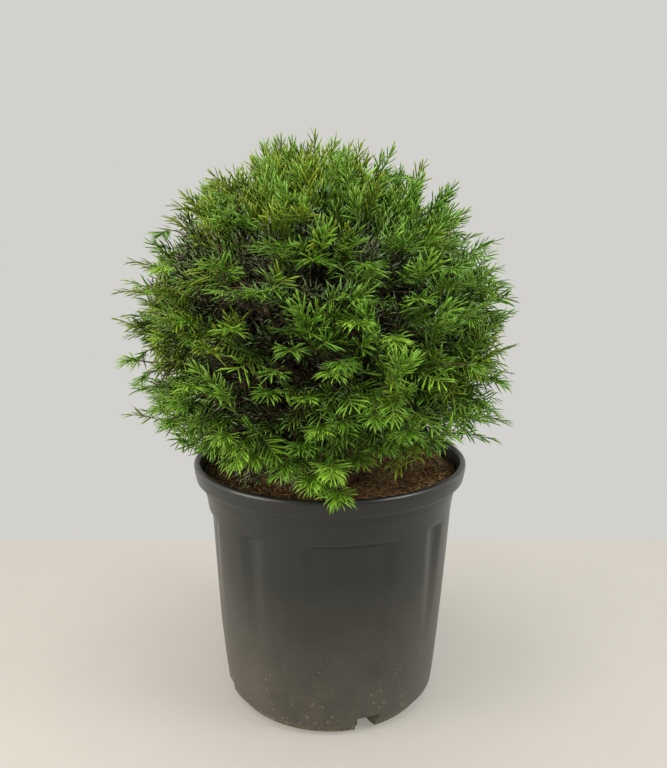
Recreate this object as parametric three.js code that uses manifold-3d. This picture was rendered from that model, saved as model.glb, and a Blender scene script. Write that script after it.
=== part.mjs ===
// English yew, Taxus baccata, as a young bushy shrub in a 20-litre nursery pot.
// Millimetres, +Z up. The origin is the middle of the pot's flat underside, and -Y is the front.
import * as THREE from 'three';
import { mergeVertices } from 'three/addons/utils/BufferGeometryUtils.js';
import Module from 'manifold-3d';

const wasm = await Module();
wasm.setup();

// Clearances
const GAP = 0.3; // between two pieces that meet
const CELL_GAP = 2.5; // from a mass of foliage to the edge of its own space
const SLIVER = 0.1; // edges shorter than this are merged where pieces are joined
const LIMB_CLEAR = 5; // from a twig or a needle to the trunk and the boughs

// Pot: heights and outer radii of a moulded container with a stepped foot and a rolled rim
const POT_FOOT_RADIUS = 123.7;
const POT_FOOT_HEIGHT = 12;
const POT_LEDGE_RADIUS = 132.9;
const POT_SHOULDER_RADIUS = 152.5;
const POT_SHOULDER_HEIGHT = 248;
const POT_NECK_RADIUS = 156.8;
const POT_NECK_HEIGHT = 271;
const RIM_BOTTOM_HEIGHT = 284;
const RIM_RADIUS = 169;
const RIM_CREST_RADIUS = 165;
const POT_HEIGHT = 305.7;
const POT_WALL = 3;
const SOIL_SHRINK = 1.2; // the growing medium has drawn back this far from the flutes
const POT_TAPER_POWER = 0.82; // the wall opens quicker near the foot than near the rim

// Flutes: shallow hollows in the wall, four wide and four narrow by turns, with ribs between
const POT_SEGMENTS = 72;
const FLUTE_DEPTH = 4;
const FLUTE_TOP = 245;
const FLUTE_BOTTOM = 95;
const FLUTE_START = -13.5; // angle of the first wide hollow's edge, from the front towards +X
const FLUTE_TURN = 90; // the pattern repeats after this angle
const WIDE_FLUTE = [0, 45];
const NARROW_FLUTE = [60, 75];
const FLUTE_EDGE = 0.5; // the wall is still full at the very edge of a hollow

// Drain notches in the foot
const NOTCH_COUNT = 4;
const NOTCH_TURN = 20;
const NOTCH_WIDTH = 27;
const NOTCH_HEIGHT = 9;
const NOTCH_DEPTH = 12;

// Growing medium
const SOIL_TOP = 272;
const SOIL_CROWN = 2; // it lies a little higher round the stem
const SOIL_SEGMENTS = 36;

// Trunk
const TRUNK_FOOT = [7, 5, SOIL_TOP + GAP];
const TRUNK_TIP = [-11, 1, 522];
const TRUNK_BOW = [4, -3, 0]; // how far the middle of the trunk bends from a straight lean
const TRUNK_RADIUS = 15;
const TRUNK_TIP_RADIUS = 4.2;
const FLARE_RADIUS = 9; // added at the ground by the root flare
const FLARE_HEIGHT = 0.1; // share of the trunk's length in which the flare dies away
const TRUNK_SIDES = 10;
const TRUNK_STEPS = 10;

// Crown: a ball that is pointed above, square-shouldered below and a little left of the pot
const CROWN_CENTRE = new THREE.Vector3(-12, 0, 485);
const CROWN_SPREAD = 255;
const CROWN_RISE = 216;
const CROWN_DROP = 190;
const UPPER_ROUNDNESS = 1.75;
const LOWER_ROUNDNESS = 4.2;
const INNER_FLOOR = 286; // lowest foliage inside the pot's rim
const RIM_FLOOR = 309; // lowest foliage over the rim
const OUTER_FLOOR = 296; // lowest foliage outside the rim
const RIM_INSIDE = 150;
const RIM_OUTSIDE = 178;

// Rings of foliage masses, from the top down. Angles are in degrees, and a turn is measured
// from the front towards +X. A bough leaves the trunk at its height and ends at its own reach.
const RINGS = [
  { name: 'top', count: 1, elevation: 90, turn: 0, sprays: 8, cone: 28, lift: 0, heart: 0.62 },
  {
    name: 'shoulder', count: 5, elevation: 38, turn: -20, sprays: 6, cone: 27, lift: 0.25, heart: 0.62,
    boughHeight: 418, boughRadius: 4.4, endOut: 52, endHeight: 517, heartFrom: 26,
  },
  {
    name: 'side', count: 6, elevation: -2, turn: 14, sprays: 6, cone: 27, lift: 0.16, heart: 0.62,
    boughHeight: 362, boughRadius: 4.8, endOut: 74, endHeight: 470, heartFrom: 50,
  },
  {
    name: 'skirt', count: 5, elevation: -38, turn: -8, sprays: 6, cone: 30, lift: 0.06, heart: 0.76,
    boughHeight: 302, boughRadius: 4.4, endOut: 76, endHeight: 362, heartFrom: 66,
  },
];
const BOUGH_STAGGER = 13; // neighbours in a ring leave the trunk this much higher by turns
const BOUGH_TIP_RADIUS = 2.9;
const BOUGH_SIDES = 5;
const BOUGH_STEPS = 5;
const BOUGH_BOW = 12; // how far a bough swings out of the straight
const BOUGH_SAG = 10;

// Foliage
const STEM_REACH = 0.6; // share of the crown's radius that a mass's stem grows to
const STEM_TIP_RADIUS = 1.6;
const STEM_STEPS = 4;
const TWIG_RADIUS = 1.8;
const TWIG_TIP_RADIUS = 0.7;
const TWIG_SIDES = 3;
const TWIG_STEPS = 2;
const FIRST_SEED = 101;
const SEED_STEP = 17;
const GOLDEN_ANGLE = 137.508;
const TRIES = 2; // sprays tried for each one wanted
const LIMB_TESTS = 36; // places along a limb, a twig and a spray's rib where room is tested
const TWIG_TESTS = 8;
const RIB_TESTS = 12;
const HEART_DETAIL = 1;
const HEART_SETBACK = 4; // the heart starts this far past the stem's foot
const HEART_CENTRE = 0.62; // share of the stem's length where the heart is centred
const HEART_ROUGHNESS = 0.07;
const HALVINGS = 22; // steps that find the heart's surface
const FIRST_TWIG = 0.35; // where the twigs leave the stem, as shares of its length
const LAST_TWIG = 0.95;
const OUTLINE_DEPTH = 0.1; // the sprays' tips lie this share of the crown's radius deep
const LENGTH_SPREAD = 0.3;
const ROLL_SPREAD = 2.2; // radians
const SPRAY_LENGTH = 98;
const SPRAY_WIDTH = 54;
const SPRAY_THICKNESS = 1.6;
const SPRAY_TEETH = 3; // needles on each side
const SPRAY_NECK = 0.04; // where the first needle starts, as a share of the length
const SPRAY_RIBBED = 0.72; // share of the length that bears needles
const NEEDLE_SWEEP = 1.35; // how far a needle points forward, in steps along the rib
const RIB_SHARE = 0.12; // half width of the rib, as a share of the half width of the spray
const SPRAY_ROOT = 0.06; // share of a spray that its twig runs into
const SPRAY_CURVE = 0.07; // droop of the tip, as a share of the length
const SPRAY_KEEL = 0.25; // how far the needles rise from the rib, as a share of their width

const POT_MATERIAL = { color: 0x3f3d38, roughness: 0.62, metalness: 0 };
const SOIL_MATERIAL = { color: 0x4a3a2b, roughness: 1, metalness: 0 };
const BARK_MATERIAL = { color: 0x6b4a35, roughness: 0.9, metalness: 0 };
const LEAF_MATERIAL = { color: 0x6f8a3d, roughness: 0.6, metalness: 0 };

const UP = new THREE.Vector3(0, 0, 1);
const SLANT = new THREE.Vector3(0.31, 0.83, 0.46); // no limb runs this way, so it can set a side
const yew = new THREE.Group();

function addMesh(name, geometry, look) {
  const flat = geometry.toNonIndexed();
  flat.computeVertexNormals();
  const mesh = new THREE.Mesh(flat, new THREE.MeshStandardMaterial(look));
  mesh.name = name;
  yew.add(mesh);
}

// A direction from its turn about the upright axis and its elevation above level
function heading(turn, elevation) {
  const around = THREE.MathUtils.degToRad(turn);
  const above = THREE.MathUtils.degToRad(elevation);
  const level = Math.cos(above);
  return new THREE.Vector3(level * Math.sin(around), -level * Math.cos(around), Math.sin(above));
}

// A repeatable run of numbers from 0 to 1
function seeded(seed) {
  let state = seed;
  return () => {
    state = (Math.imul(1664525, state) + 1013904223) >>> 0;
    return state / 4294967296;
  };
}

// Closed three.js geometry to a solid: shared corners are merged and empty triangles dropped
function solidOf(geometry) {
  geometry.deleteAttribute('normal');
  geometry.deleteAttribute('uv');
  const merged = mergeVertices(geometry, 1e-3);
  const corners = merged.index.array;
  const triangles = [];
  for (let i = 0; i < corners.length; i += 3) {
    const [a, b, c] = [corners[i], corners[i + 1], corners[i + 2]];
    if (a !== b && b !== c && c !== a) triangles.push(a, b, c);
  }
  const mesh = new wasm.Mesh({
    numProp: 3,
    vertProperties: new Float32Array(merged.attributes.position.array),
    triVerts: new Uint32Array(triangles),
  });
  return new wasm.Manifold(mesh);
}

// The largest body of a solid, which leaves out loose scraps and fills sealed hollows, with the
// slivers along its seams merged away
function mainBody(solid) {
  const bodies = solid.simplify(SLIVER).decompose();
  return bodies.reduce((best, body) => (body.volume() > best.volume() ? body : best));
}

function geometryOf(solid) {
  const mesh = solid.getMesh();
  const geometry = new THREE.BufferGeometry();
  geometry.setAttribute('position', new THREE.BufferAttribute(new Float32Array(mesh.vertProperties), 3));
  geometry.setIndex(new THREE.BufferAttribute(new Uint32Array(mesh.triVerts), 1));
  return geometry;
}

// A closed limb: a cylinder bent along a curve, with its radius given along the length
function limb(curve, radiusAt, sides, steps) {
  const geometry = new THREE.CylinderGeometry(1, 1, 1, sides, steps);
  const position = geometry.attributes.position;
  for (let i = 0; i < position.count; i += 1) {
    const along = position.getY(i) + 0.5;
    const tangent = curve.getTangent(along);
    const side = SLANT.clone().cross(tangent).normalize();
    const over = tangent.clone().cross(side);
    const radius = radiusAt(along);
    const point = curve.getPoint(along);
    point.addScaledVector(side, position.getZ(i) * radius);
    point.addScaledVector(over, position.getX(i) * radius);
    position.setXYZ(i, point.x, point.y, point.z);
  }
  return solidOf(geometry);
}

// ---- Pot and growing medium ----

function potRadius(height) {
  const share = (height - POT_FOOT_HEIGHT) / (POT_SHOULDER_HEIGHT - POT_FOOT_HEIGHT);
  const rise = Math.max(0, share) ** POT_TAPER_POWER;
  return POT_LEDGE_RADIUS + (POT_SHOULDER_RADIUS - POT_LEDGE_RADIUS) * rise;
}

// How far the wall is pressed in at an angle and a height
function fluteDepth(degrees, height) {
  if (height > FLUTE_TOP + 1 || height < FLUTE_BOTTOM) return 0;
  const turn = THREE.MathUtils.euclideanModulo(degrees - FLUTE_START, FLUTE_TURN);
  const within = ([from, to]) => turn > from + FLUTE_EDGE && turn < to - FLUTE_EDGE;
  if (!within(WIDE_FLUTE) && !within(NARROW_FLUTE)) return 0;
  return FLUTE_DEPTH * (height - FLUTE_BOTTOM) / (FLUTE_TOP - FLUTE_BOTTOM);
}

function turned(profile, segments) {
  const points = profile.map(([radius, height]) => new THREE.Vector2(radius, height));
  const geometry = new THREE.LatheGeometry(points, segments);
  geometry.rotateX(Math.PI / 2);
  geometry.rotateZ(THREE.MathUtils.degToRad(FLUTE_START));
  return geometry;
}

// Moves the pot's wall inwards along the flutes
function pressFlutes(geometry) {
  const position = geometry.attributes.position;
  for (let i = 0; i < position.count; i += 1) {
    const [x, y, z] = [position.getX(i), position.getY(i), position.getZ(i)];
    const radius = Math.max(Math.hypot(x, y), 1);
    const degrees = THREE.MathUtils.radToDeg(Math.atan2(x, -y));
    const pressed = (radius - fluteDepth(degrees, z)) / radius;
    position.setXY(i, x * pressed, y * pressed);
  }
}

function potSolid() {
  const wall = [FLUTE_BOTTOM, FLUTE_TOP].map((height) => [potRadius(height), height]);
  const inside = wall.map(([radius, height]) => [radius - POT_WALL, height]).reverse();
  const geometry = turned([
    [0, 0],
    [POT_FOOT_RADIUS, 0],
    [POT_FOOT_RADIUS + 3.5, POT_FOOT_HEIGHT],
    [POT_LEDGE_RADIUS, POT_FOOT_HEIGHT + 1],
    ...wall,
    [POT_SHOULDER_RADIUS, POT_SHOULDER_HEIGHT],
    [POT_NECK_RADIUS, POT_NECK_HEIGHT],
    [POT_NECK_RADIUS + 0.8, RIM_BOTTOM_HEIGHT],
    [RIM_RADIUS - 2, RIM_BOTTOM_HEIGHT + 1.5],
    [RIM_RADIUS, POT_HEIGHT - 11],
    [RIM_CREST_RADIUS + 1.5, POT_HEIGHT],
    [RIM_CREST_RADIUS - 2, POT_HEIGHT],
    [POT_NECK_RADIUS + 0.5 - POT_WALL, POT_NECK_HEIGHT + 6],
    [POT_SHOULDER_RADIUS - POT_WALL, POT_SHOULDER_HEIGHT],
    ...inside,
    [POT_LEDGE_RADIUS - POT_WALL, POT_FOOT_HEIGHT + 3],
    [POT_FOOT_RADIUS - 2, POT_WALL + 1],
    [0, POT_WALL + 1],
  ], POT_SEGMENTS);
  pressFlutes(geometry);
  let pot = solidOf(geometry);
  for (let i = 0; i < NOTCH_COUNT; i += 1) {
    const notch = new THREE.BoxGeometry(NOTCH_WIDTH, NOTCH_DEPTH * 2, NOTCH_HEIGHT * 2);
    notch.translate(0, -(POT_FOOT_RADIUS + NOTCH_DEPTH * 0.6), 0);
    notch.rotateZ(THREE.MathUtils.degToRad(NOTCH_TURN + (i * 360) / NOTCH_COUNT));
    pot = pot.subtract(solidOf(notch));
  }
  return mainBody(pot);
}

function soilSolid() {
  const clear = POT_WALL + FLUTE_DEPTH + SOIL_SHRINK;
  const geometry = turned([
    [0, POT_WALL + 1 + GAP],
    [POT_FOOT_RADIUS - 4, POT_WALL + 1 + GAP],
    [POT_LEDGE_RADIUS - clear, POT_FOOT_HEIGHT + 6],
    [potRadius(FLUTE_TOP) - clear, FLUTE_TOP],
    [POT_NECK_RADIUS - clear, SOIL_TOP - SOIL_CROWN],
    [POT_NECK_RADIUS * 0.4, SOIL_TOP],
    [0, SOIL_TOP],
  ], SOIL_SEGMENTS);
  return solidOf(geometry);
}

// ---- Trunk and boughs ----

const trunkStart = new THREE.Vector3(...TRUNK_FOOT);
const trunkEnd = new THREE.Vector3(...TRUNK_TIP);
const trunkBend = trunkStart.clone().lerp(trunkEnd, 0.5).add(new THREE.Vector3(...TRUNK_BOW));
const trunkCurve = new THREE.QuadraticBezierCurve3(trunkStart, trunkBend, trunkEnd);

function trunkRadius(along) {
  const flare = FLARE_RADIUS * Math.exp(-along / FLARE_HEIGHT);
  return THREE.MathUtils.lerp(TRUNK_RADIUS, TRUNK_TIP_RADIUS, along ** 0.9) + flare;
}

// The trunk's foot is cut level with the ground
function trunkSolid(extra) {
  const solid = limb(trunkCurve, (along) => trunkRadius(along) + extra, TRUNK_SIDES, TRUNK_STEPS);
  const ground = new THREE.BoxGeometry(120, 120, 40);
  ground.translate(trunkStart.x, trunkStart.y, trunkStart.z - 20);
  return solid.subtract(solidOf(ground));
}

function trunkAlong(height) {
  return (height - trunkStart.z) / (trunkEnd.z - trunkStart.z);
}

// ---- Foliage masses ----

// The crown's radius in a direction from its centre
function crownReach(direction) {
  const level = Math.hypot(direction.x, direction.y);
  const tall = direction.z > 0 ? CROWN_RISE : CROWN_DROP;
  const power = direction.z > 0 ? UPPER_ROUNDNESS : LOWER_ROUNDNESS;
  return ((level / CROWN_SPREAD) ** power + (Math.abs(direction.z) / tall) ** power) ** (-1 / power);
}

function listMasses() {
  const masses = [];
  for (const ring of RINGS) {
    for (let i = 0; i < ring.count; i += 1) {
      const turn = ring.turn + (i * 360) / ring.count;
      const mass = {
        name: ring.count > 1 ? `${ring.name}_${i + 1}` : ring.name,
        ring,
        turn,
        seed: FIRST_SEED + masses.length * SEED_STEP,
        aim: heading(turn, ring.elevation),
      };
      if (ring.endOut) {
        const out = heading(turn, 0);
        const height = ring.boughHeight + (i % 2) * BOUGH_STAGGER;
        const start = trunkCurve.getPoint(trunkAlong(height));
        const end = CROWN_CENTRE.clone().addScaledVector(out, ring.endOut).setZ(ring.endHeight);
        const bend = start.clone().lerp(end, 0.5).addScaledVector(out, BOUGH_BOW);
        bend.z += ring.elevation < 0 ? BOUGH_SAG : -BOUGH_SAG;
        mass.bough = new THREE.QuadraticBezierCurve3(start, bend, end);
      }
      masses.push(mass);
    }
  }
  return masses;
}

const masses = listMasses();

function stemStart(mass) {
  const path = mass.bough ?? trunkCurve;
  const tangent = path.getTangent(1);
  return path.getPoint(1).addScaledVector(tangent, GAP);
}

function stemCurve(mass) {
  const start = stemStart(mass);
  const end = CROWN_CENTRE.clone().addScaledVector(mass.aim, crownReach(mass.aim) * STEM_REACH);
  const tangent = (mass.bough ?? trunkCurve).getTangent(1);
  const bend = start.clone().addScaledVector(tangent, start.distanceTo(end) * 0.4);
  return new THREE.QuadraticBezierCurve3(start, bend, end);
}

function lowestFoliage(out) {
  if (out < RIM_INSIDE) return INNER_FLOOR;
  return out < RIM_OUTSIDE ? RIM_FLOOR : OUTER_FLOOR;
}

// Whether a point keeps to a mass's own space: nearer its own aim than any other mass's, and
// above the growing medium and the pot's rim
function inOwnSpace(mass, point) {
  const fromCentre = point.clone().sub(CROWN_CENTRE);
  for (const other of masses) {
    if (other === mass) continue;
    const between = mass.aim.clone().sub(other.aim).normalize();
    if (fromCentre.dot(between) < CELL_GAP) return false;
  }
  return point.z > lowestFoliage(Math.hypot(point.x, point.y));
}

// Balls along the trunk and the boughs, for testing what would touch them
function limbBalls() {
  const balls = [];
  for (let i = 0; i <= LIMB_TESTS; i += 1) {
    const along = i / LIMB_TESTS;
    balls.push({ centre: trunkCurve.getPoint(along), radius: trunkRadius(along) });
    for (const mass of masses) {
      if (mass.bough) balls.push({ centre: mass.bough.getPoint(along), radius: mass.ring.boughRadius });
    }
  }
  return balls;
}

const limbRoom = limbBalls();

function clearOfLimbs(point) {
  return limbRoom.every((ball) => point.distanceTo(ball.centre) > ball.radius + LIMB_CLEAR);
}

// The seeded rule: twigs leave the stem in a golden-angle spiral, each bent up to where its
// spray of needles starts, so that the spray's tip lies at the crown's outline
function growTwigs(mass) {
  const random = seeded(mass.seed);
  const stem = stemCurve(mass);
  const across = SLANT.clone().cross(mass.aim).normalize();
  const over = mass.aim.clone().cross(across);
  const twigs = [];
  const tries = mass.ring.sprays * TRIES;
  for (let i = 0; i < tries; i += 1) {
    const spin = THREE.MathUtils.degToRad(i * GOLDEN_ANGLE + random() * 30);
    const share = Math.sqrt((i + 0.5) / tries);
    const spread = THREE.MathUtils.degToRad(mass.ring.cone) * share;
    const toTip = mass.aim.clone().multiplyScalar(Math.cos(spread));
    toTip.addScaledVector(across, Math.sin(spread) * Math.cos(spin));
    toTip.addScaledVector(over, Math.sin(spread) * Math.sin(spin));
    const depth = i === 0 ? 1 : 1 - OUTLINE_DEPTH * random();
    const length = SPRAY_LENGTH * (1 + LENGTH_SPREAD * (random() - 0.5));
    const lift = mass.ring.lift * (0.5 + random());
    const roll = ROLL_SPREAD * (random() - 0.5);
    const leave = FIRST_TWIG + (LAST_TWIG - FIRST_TWIG) * random();
    const tip = CROWN_CENTRE.clone().addScaledVector(toTip, crownReach(toTip) * depth);
    const direction = toTip.clone().addScaledVector(UP, lift).normalize();
    const base = tip.clone().addScaledVector(direction, -length);
    const start = stem.getPoint(leave);
    const bend = base.clone().addScaledVector(direction, -0.35 * start.distanceTo(base));
    twigs.push({ start, bend, base, tip, direction, length, roll });
  }
  return twigs;
}

// A spray of needles: a thin toothed blade along X, with needles that point forward
function sprayGeometry(length) {
  const width = (SPRAY_WIDTH * length) / SPRAY_LENGTH / 2;
  const rib = width * RIB_SHARE;
  const step = (length * SPRAY_RIBBED) / SPRAY_TEETH;
  const side = [];
  for (let k = 0; k < SPRAY_TEETH; k += 1) {
    const root = length * SPRAY_NECK + k * step;
    const share = (k + 0.5) / SPRAY_TEETH;
    const needle = width * (0.62 + 0.38 * Math.sin(Math.PI * (0.2 + 0.65 * share)));
    side.push([root, rib], [root + step * NEEDLE_SWEEP, needle]);
  }
  side.push([length * (SPRAY_NECK * 2 + SPRAY_RIBBED), rib]);
  const outline = new THREE.Shape();
  outline.moveTo(0, 0);
  side.forEach(([x, y]) => outline.lineTo(x, y));
  outline.lineTo(length, 0);
  side.reverse().forEach(([x, y]) => outline.lineTo(x, -y));
  outline.closePath();
  const geometry = new THREE.ExtrudeGeometry(outline, { depth: SPRAY_THICKNESS, bevelEnabled: false });
  geometry.translate(0, 0, -SPRAY_THICKNESS / 2);
  const position = geometry.attributes.position;
  for (let i = 0; i < position.count; i += 1) {
    const share = position.getX(i) / length;
    const droop = SPRAY_CURVE * length * (share * share - share);
    const keel = Math.abs(position.getY(i)) * SPRAY_KEEL;
    position.setZ(i, position.getZ(i) - droop + keel);
  }
  return geometry;
}

function placeSpray(twig) {
  const geometry = sprayGeometry(twig.length);
  const side = UP.clone().cross(twig.direction);
  if (side.length() < 0.2) side.set(1, 0, 0).addScaledVector(twig.direction, -twig.direction.x);
  side.normalize();
  const face = twig.direction.clone().cross(side);
  const matrix = new THREE.Matrix4().makeBasis(twig.direction, side, face);
  matrix.multiply(new THREE.Matrix4().makeRotationX(twig.roll));
  matrix.setPosition(twig.base);
  geometry.applyMatrix4(matrix);
  return geometry;
}

function pointsOf(geometry) {
  const position = geometry.attributes.position;
  const points = [];
  for (let i = 0; i < position.count; i += 1) {
    points.push(new THREE.Vector3().fromBufferAttribute(position, i));
  }
  return points;
}

// The dense heart of a mass: a ball pressed out to its own space and to its share of the crown
function heartSolid(mass, stem) {
  const start = stem.getPoint(0);
  const forward = stem.getTangent(0.2);
  const centre = stem.getPoint(HEART_CENTRE);
  const outHeading = heading(mass.turn, 0);
  const random = seeded(mass.seed + 5);
  const inside = (point) => {
    const fromCentre = point.clone().sub(CROWN_CENTRE);
    const reach = crownReach(fromCentre.clone().normalize()) * mass.ring.heart;
    const ahead = point.clone().sub(start).dot(forward);
    const clearOfTrunk = !mass.bough || fromCentre.dot(outHeading) > mass.ring.heartFrom;
    const pastBough = ahead > HEART_SETBACK;
    return fromCentre.length() < reach && pastBough && clearOfTrunk && inOwnSpace(mass, point);
  };
  const geometry = new THREE.IcosahedronGeometry(1, HEART_DETAIL);
  geometry.deleteAttribute('normal');
  geometry.deleteAttribute('uv');
  const ball = mergeVertices(geometry);
  const position = ball.attributes.position;
  for (let i = 0; i < position.count; i += 1) {
    const direction = new THREE.Vector3().fromBufferAttribute(position, i);
    let near = 0;
    let far = CROWN_SPREAD;
    for (let halving = 0; halving < HALVINGS; halving += 1) {
      const middle = (near + far) / 2;
      if (inside(centre.clone().addScaledVector(direction, middle))) near = middle;
      else far = middle;
    }
    const point = centre.clone().addScaledVector(direction, near * (1 - HEART_ROUGHNESS * random()));
    position.setXYZ(i, point.x, point.y, point.z);
  }
  return solidOf(ball);
}

function massSolid(mass) {
  const stem = stemCurve(mass);
  const stemRadius = mass.bough ? BOUGH_TIP_RADIUS : TRUNK_TIP_RADIUS;
  const stemRadiusAt = (along) => THREE.MathUtils.lerp(stemRadius, STEM_TIP_RADIUS, along);
  let solid = limb(stem, stemRadiusAt, BOUGH_SIDES, STEM_STEPS).add(heartSolid(mass, stem));
  let kept = 0;
  for (const twig of growTwigs(mass)) {
    if (kept === mass.ring.sprays) break;
    const spray = placeSpray(twig);
    const tipIn = twig.base.clone().addScaledVector(twig.direction, twig.length * SPRAY_ROOT);
    const curve = new THREE.CubicBezierCurve3(twig.start, twig.bend, twig.base, tipIn);
    const twigPoints = curve.getPoints(TWIG_TESTS).slice(1);
    const ribPoints = new THREE.LineCurve3(twig.base, twig.tip).getPoints(RIB_TESTS);
    const points = [...pointsOf(spray), ...twigPoints, ...ribPoints];
    const fits = points.every((point) => inOwnSpace(mass, point) && clearOfLimbs(point));
    if (!fits) continue;
    const radiusAt = (along) => THREE.MathUtils.lerp(TWIG_RADIUS, TWIG_TIP_RADIUS, along);
    solid = solid.add(limb(curve, radiusAt, TWIG_SIDES, TWIG_STEPS)).add(solidOf(spray));
    kept += 1;
  }
  return mainBody(solid);
}

addMesh('pot', geometryOf(potSolid()), POT_MATERIAL);
addMesh('soil', geometryOf(soilSolid()), SOIL_MATERIAL);
addMesh('trunk', geometryOf(trunkSolid(0)), BARK_MATERIAL);

const trunkRoom = trunkSolid(GAP);
for (const mass of masses) {
  if (mass.bough) {
    const radiusAt = (along) => THREE.MathUtils.lerp(mass.ring.boughRadius, BOUGH_TIP_RADIUS, along);
    const bough = limb(mass.bough, radiusAt, BOUGH_SIDES, BOUGH_STEPS).subtract(trunkRoom);
    addMesh(`bough_${mass.name}`, geometryOf(mainBody(bough)), BARK_MATERIAL);
  }
  addMesh(`crown_${mass.name}`, geometryOf(massSolid(mass)), LEAF_MATERIAL);
}

export default yew;
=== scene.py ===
"""A young English yew, Taxus baccata, in a 20-litre nursery pot: the looks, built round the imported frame.

Growth is worked out in millimetres, as in the part's source, and meshes are made in metres.
+Z is up, -Y is the front, and the origin is the middle of the pot's flat underside.
"""

import math
from collections import namedtuple

import bmesh
import bpy
import numpy as np
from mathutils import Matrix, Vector, noise


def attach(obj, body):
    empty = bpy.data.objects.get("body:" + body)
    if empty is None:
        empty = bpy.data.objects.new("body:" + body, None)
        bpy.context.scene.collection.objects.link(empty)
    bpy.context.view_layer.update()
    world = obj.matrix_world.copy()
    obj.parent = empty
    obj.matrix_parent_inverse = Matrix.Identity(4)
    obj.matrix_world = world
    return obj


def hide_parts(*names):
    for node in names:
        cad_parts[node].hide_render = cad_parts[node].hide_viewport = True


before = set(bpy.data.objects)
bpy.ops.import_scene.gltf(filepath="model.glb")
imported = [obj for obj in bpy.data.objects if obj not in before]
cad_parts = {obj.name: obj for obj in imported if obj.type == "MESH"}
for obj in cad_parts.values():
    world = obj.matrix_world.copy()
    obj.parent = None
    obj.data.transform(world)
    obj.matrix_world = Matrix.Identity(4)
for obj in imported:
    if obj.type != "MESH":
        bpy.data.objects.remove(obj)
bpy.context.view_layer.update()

MM = 0.001
SHARP_ANGLE = math.radians(38)

# ---- Camera and floor (metres, degrees) ----
CAMERA_PLACE = (0.0045, -0.9341, 0.5944)
CAMERA_PITCH = 78
CAMERA_LENS = 36.2
CAMERA_SENSOR = 36
FLOOR_BACK = 0.433
FLOOR_FRONT = -1.7
FLOOR_HALF_WIDTH = 1.8

# ---- Pot (millimetres, degrees) ----
POT_FOOT_RADIUS = 123.7
POT_FOOT_HEIGHT = 12
POT_LEDGE_RADIUS = 132.9
POT_SHOULDER_RADIUS = 152.5
POT_SHOULDER_HEIGHT = 248
POT_NECK_RADIUS = 156.8
POT_NECK_HEIGHT = 271
RIM_BOTTOM_HEIGHT = 284
RIM_RADIUS = 169
RIM_CREST_RADIUS = 165
RIM_ROLL = 4.8
POT_HEIGHT = 305.7
POT_WALL = 3
POT_TAPER_POWER = 0.82
POT_STEPS = 360
WALL_FOOT = 14
WALL_ROW = 4.5
FLUTE_DEPTH = 4
FLUTE_TOP = 245
FLUTE_BOTTOM = 95
FLUTE_START = -13.5
FLUTE_TURN = 90
WIDE_FLUTE = (0, 45)
NARROW_FLUTE = (60, 75)
FLUTE_SOFT = 7.5
FLUTE_NARROWING = 0.22
NOTCH_COUNT = 4
NOTCH_TURN = 20
NOTCH_HALF = 4.8
NOTCH_SOFT = 0.5
NOTCH_HEIGHT = 22
NOTCH_DEPTH = 30

# Everywhere in this file a size that is drawn by chance is a pair: its least, and how much more it may be

# ---- Growing medium ----
SOIL_TOP = 272
SOIL_RADIUS = 156.8
SOIL_ROW = 2.4
SOIL_STEPS = 200
SOIL_RELIEF = 2.6
LUMP_SHARE = 1.3
LUMPS_PER_MM = 0.035
CRUMB_SHARE = 0.9
CRUMBS_PER_MM = 0.16
SOIL_BANK = 19
LITTER_EDGE = 3
FIBRES = 2600
FIBRE_HALF = (4, 9)
FIBRE_ARCH = (0.8, 3.4)
FIBRE_SWAY = 2.4
FIBRE_RADIUS = (0.26, 0.42)
CHIPS = 2400
CHIP_LENGTH = (1.0, 3.0)
CHIP_WIDTH = (0.8, 1.6)
CHIP_THICKNESS = (0.6, 1.0)
CHIP_CORNER = (0.7, 0.6)
FALLEN_NEEDLES = 150

# ---- Trunk and boughs, as in the part's source ----
GAP = 0.3
TRUNK_FOOT = np.array([7, 5, SOIL_TOP + GAP])
TRUNK_TIP = np.array([-11, 1, 522])
TRUNK_BOW = np.array([4, -3, 0])
TRUNK_RADIUS = 15
TRUNK_TIP_RADIUS = 4.2
TRUNK_TAPER_POWER = 0.9
FLARE_RADIUS = 9
FLARE_HEIGHT = 0.1
# Sides, steps along and the bark's relief of each kind of limb
TRUNK_MESH = (56, 110, 1.5)
BOUGH_MESH = (14, 34, 0.5)
STEM_MESH = (10, 18, 0.35)

# ---- Crown, as in the part's source ----
UP = np.array([0.0, 0.0, 1.0])
SLANT = np.array([0.31, 0.83, 0.46])
CROWN_CENTRE = np.array([-12.0, 0.0, 485.0])
CROWN_SPREAD = 255
CROWN_RISE = 216
CROWN_DROP = 190
UPPER_ROUNDNESS = 1.75
LOWER_ROUNDNESS = 4.2
INNER_FLOOR = 286
RIM_FLOOR = 309
OUTER_FLOOR = 296
RIM_INSIDE = 150
RIM_OUTSIDE = 178
RINGS = [
    dict(name="top", count=1, elevation=90, turn=0, sprays=8, cone=28, lift=0, rise=0,
         leaders=14, fans=0),
    dict(name="shoulder", count=5, elevation=38, turn=-20, sprays=6, cone=27, lift=0.25, rise=0.35,
         leaders=9, fans=4, bough_height=418, bough_radius=4.4, end_out=52, end_height=517),
    dict(name="side", count=6, elevation=-2, turn=14, sprays=6, cone=27, lift=0.16, rise=0.4,
         leaders=7, fans=8, bough_height=362, bough_radius=4.8, end_out=74, end_height=470),
    dict(name="skirt", count=5, elevation=-38, turn=-8, sprays=6, cone=30, lift=0.06, rise=0.5,
         leaders=4, fans=9, bough_height=302, bough_radius=4.4, end_out=76, end_height=362),
]
BOUGH_STAGGER = 13
BOUGH_TIP_RADIUS = 2.9
BOUGH_BOW = 12
BOUGH_SAG = 10
STEM_REACH = 0.6
STEM_TIP_RADIUS = 1.6
FIRST_SEED = 101
SEED_STEP = 17
GOLDEN_ANGLE = 137.508
TRIES = 2
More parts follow.
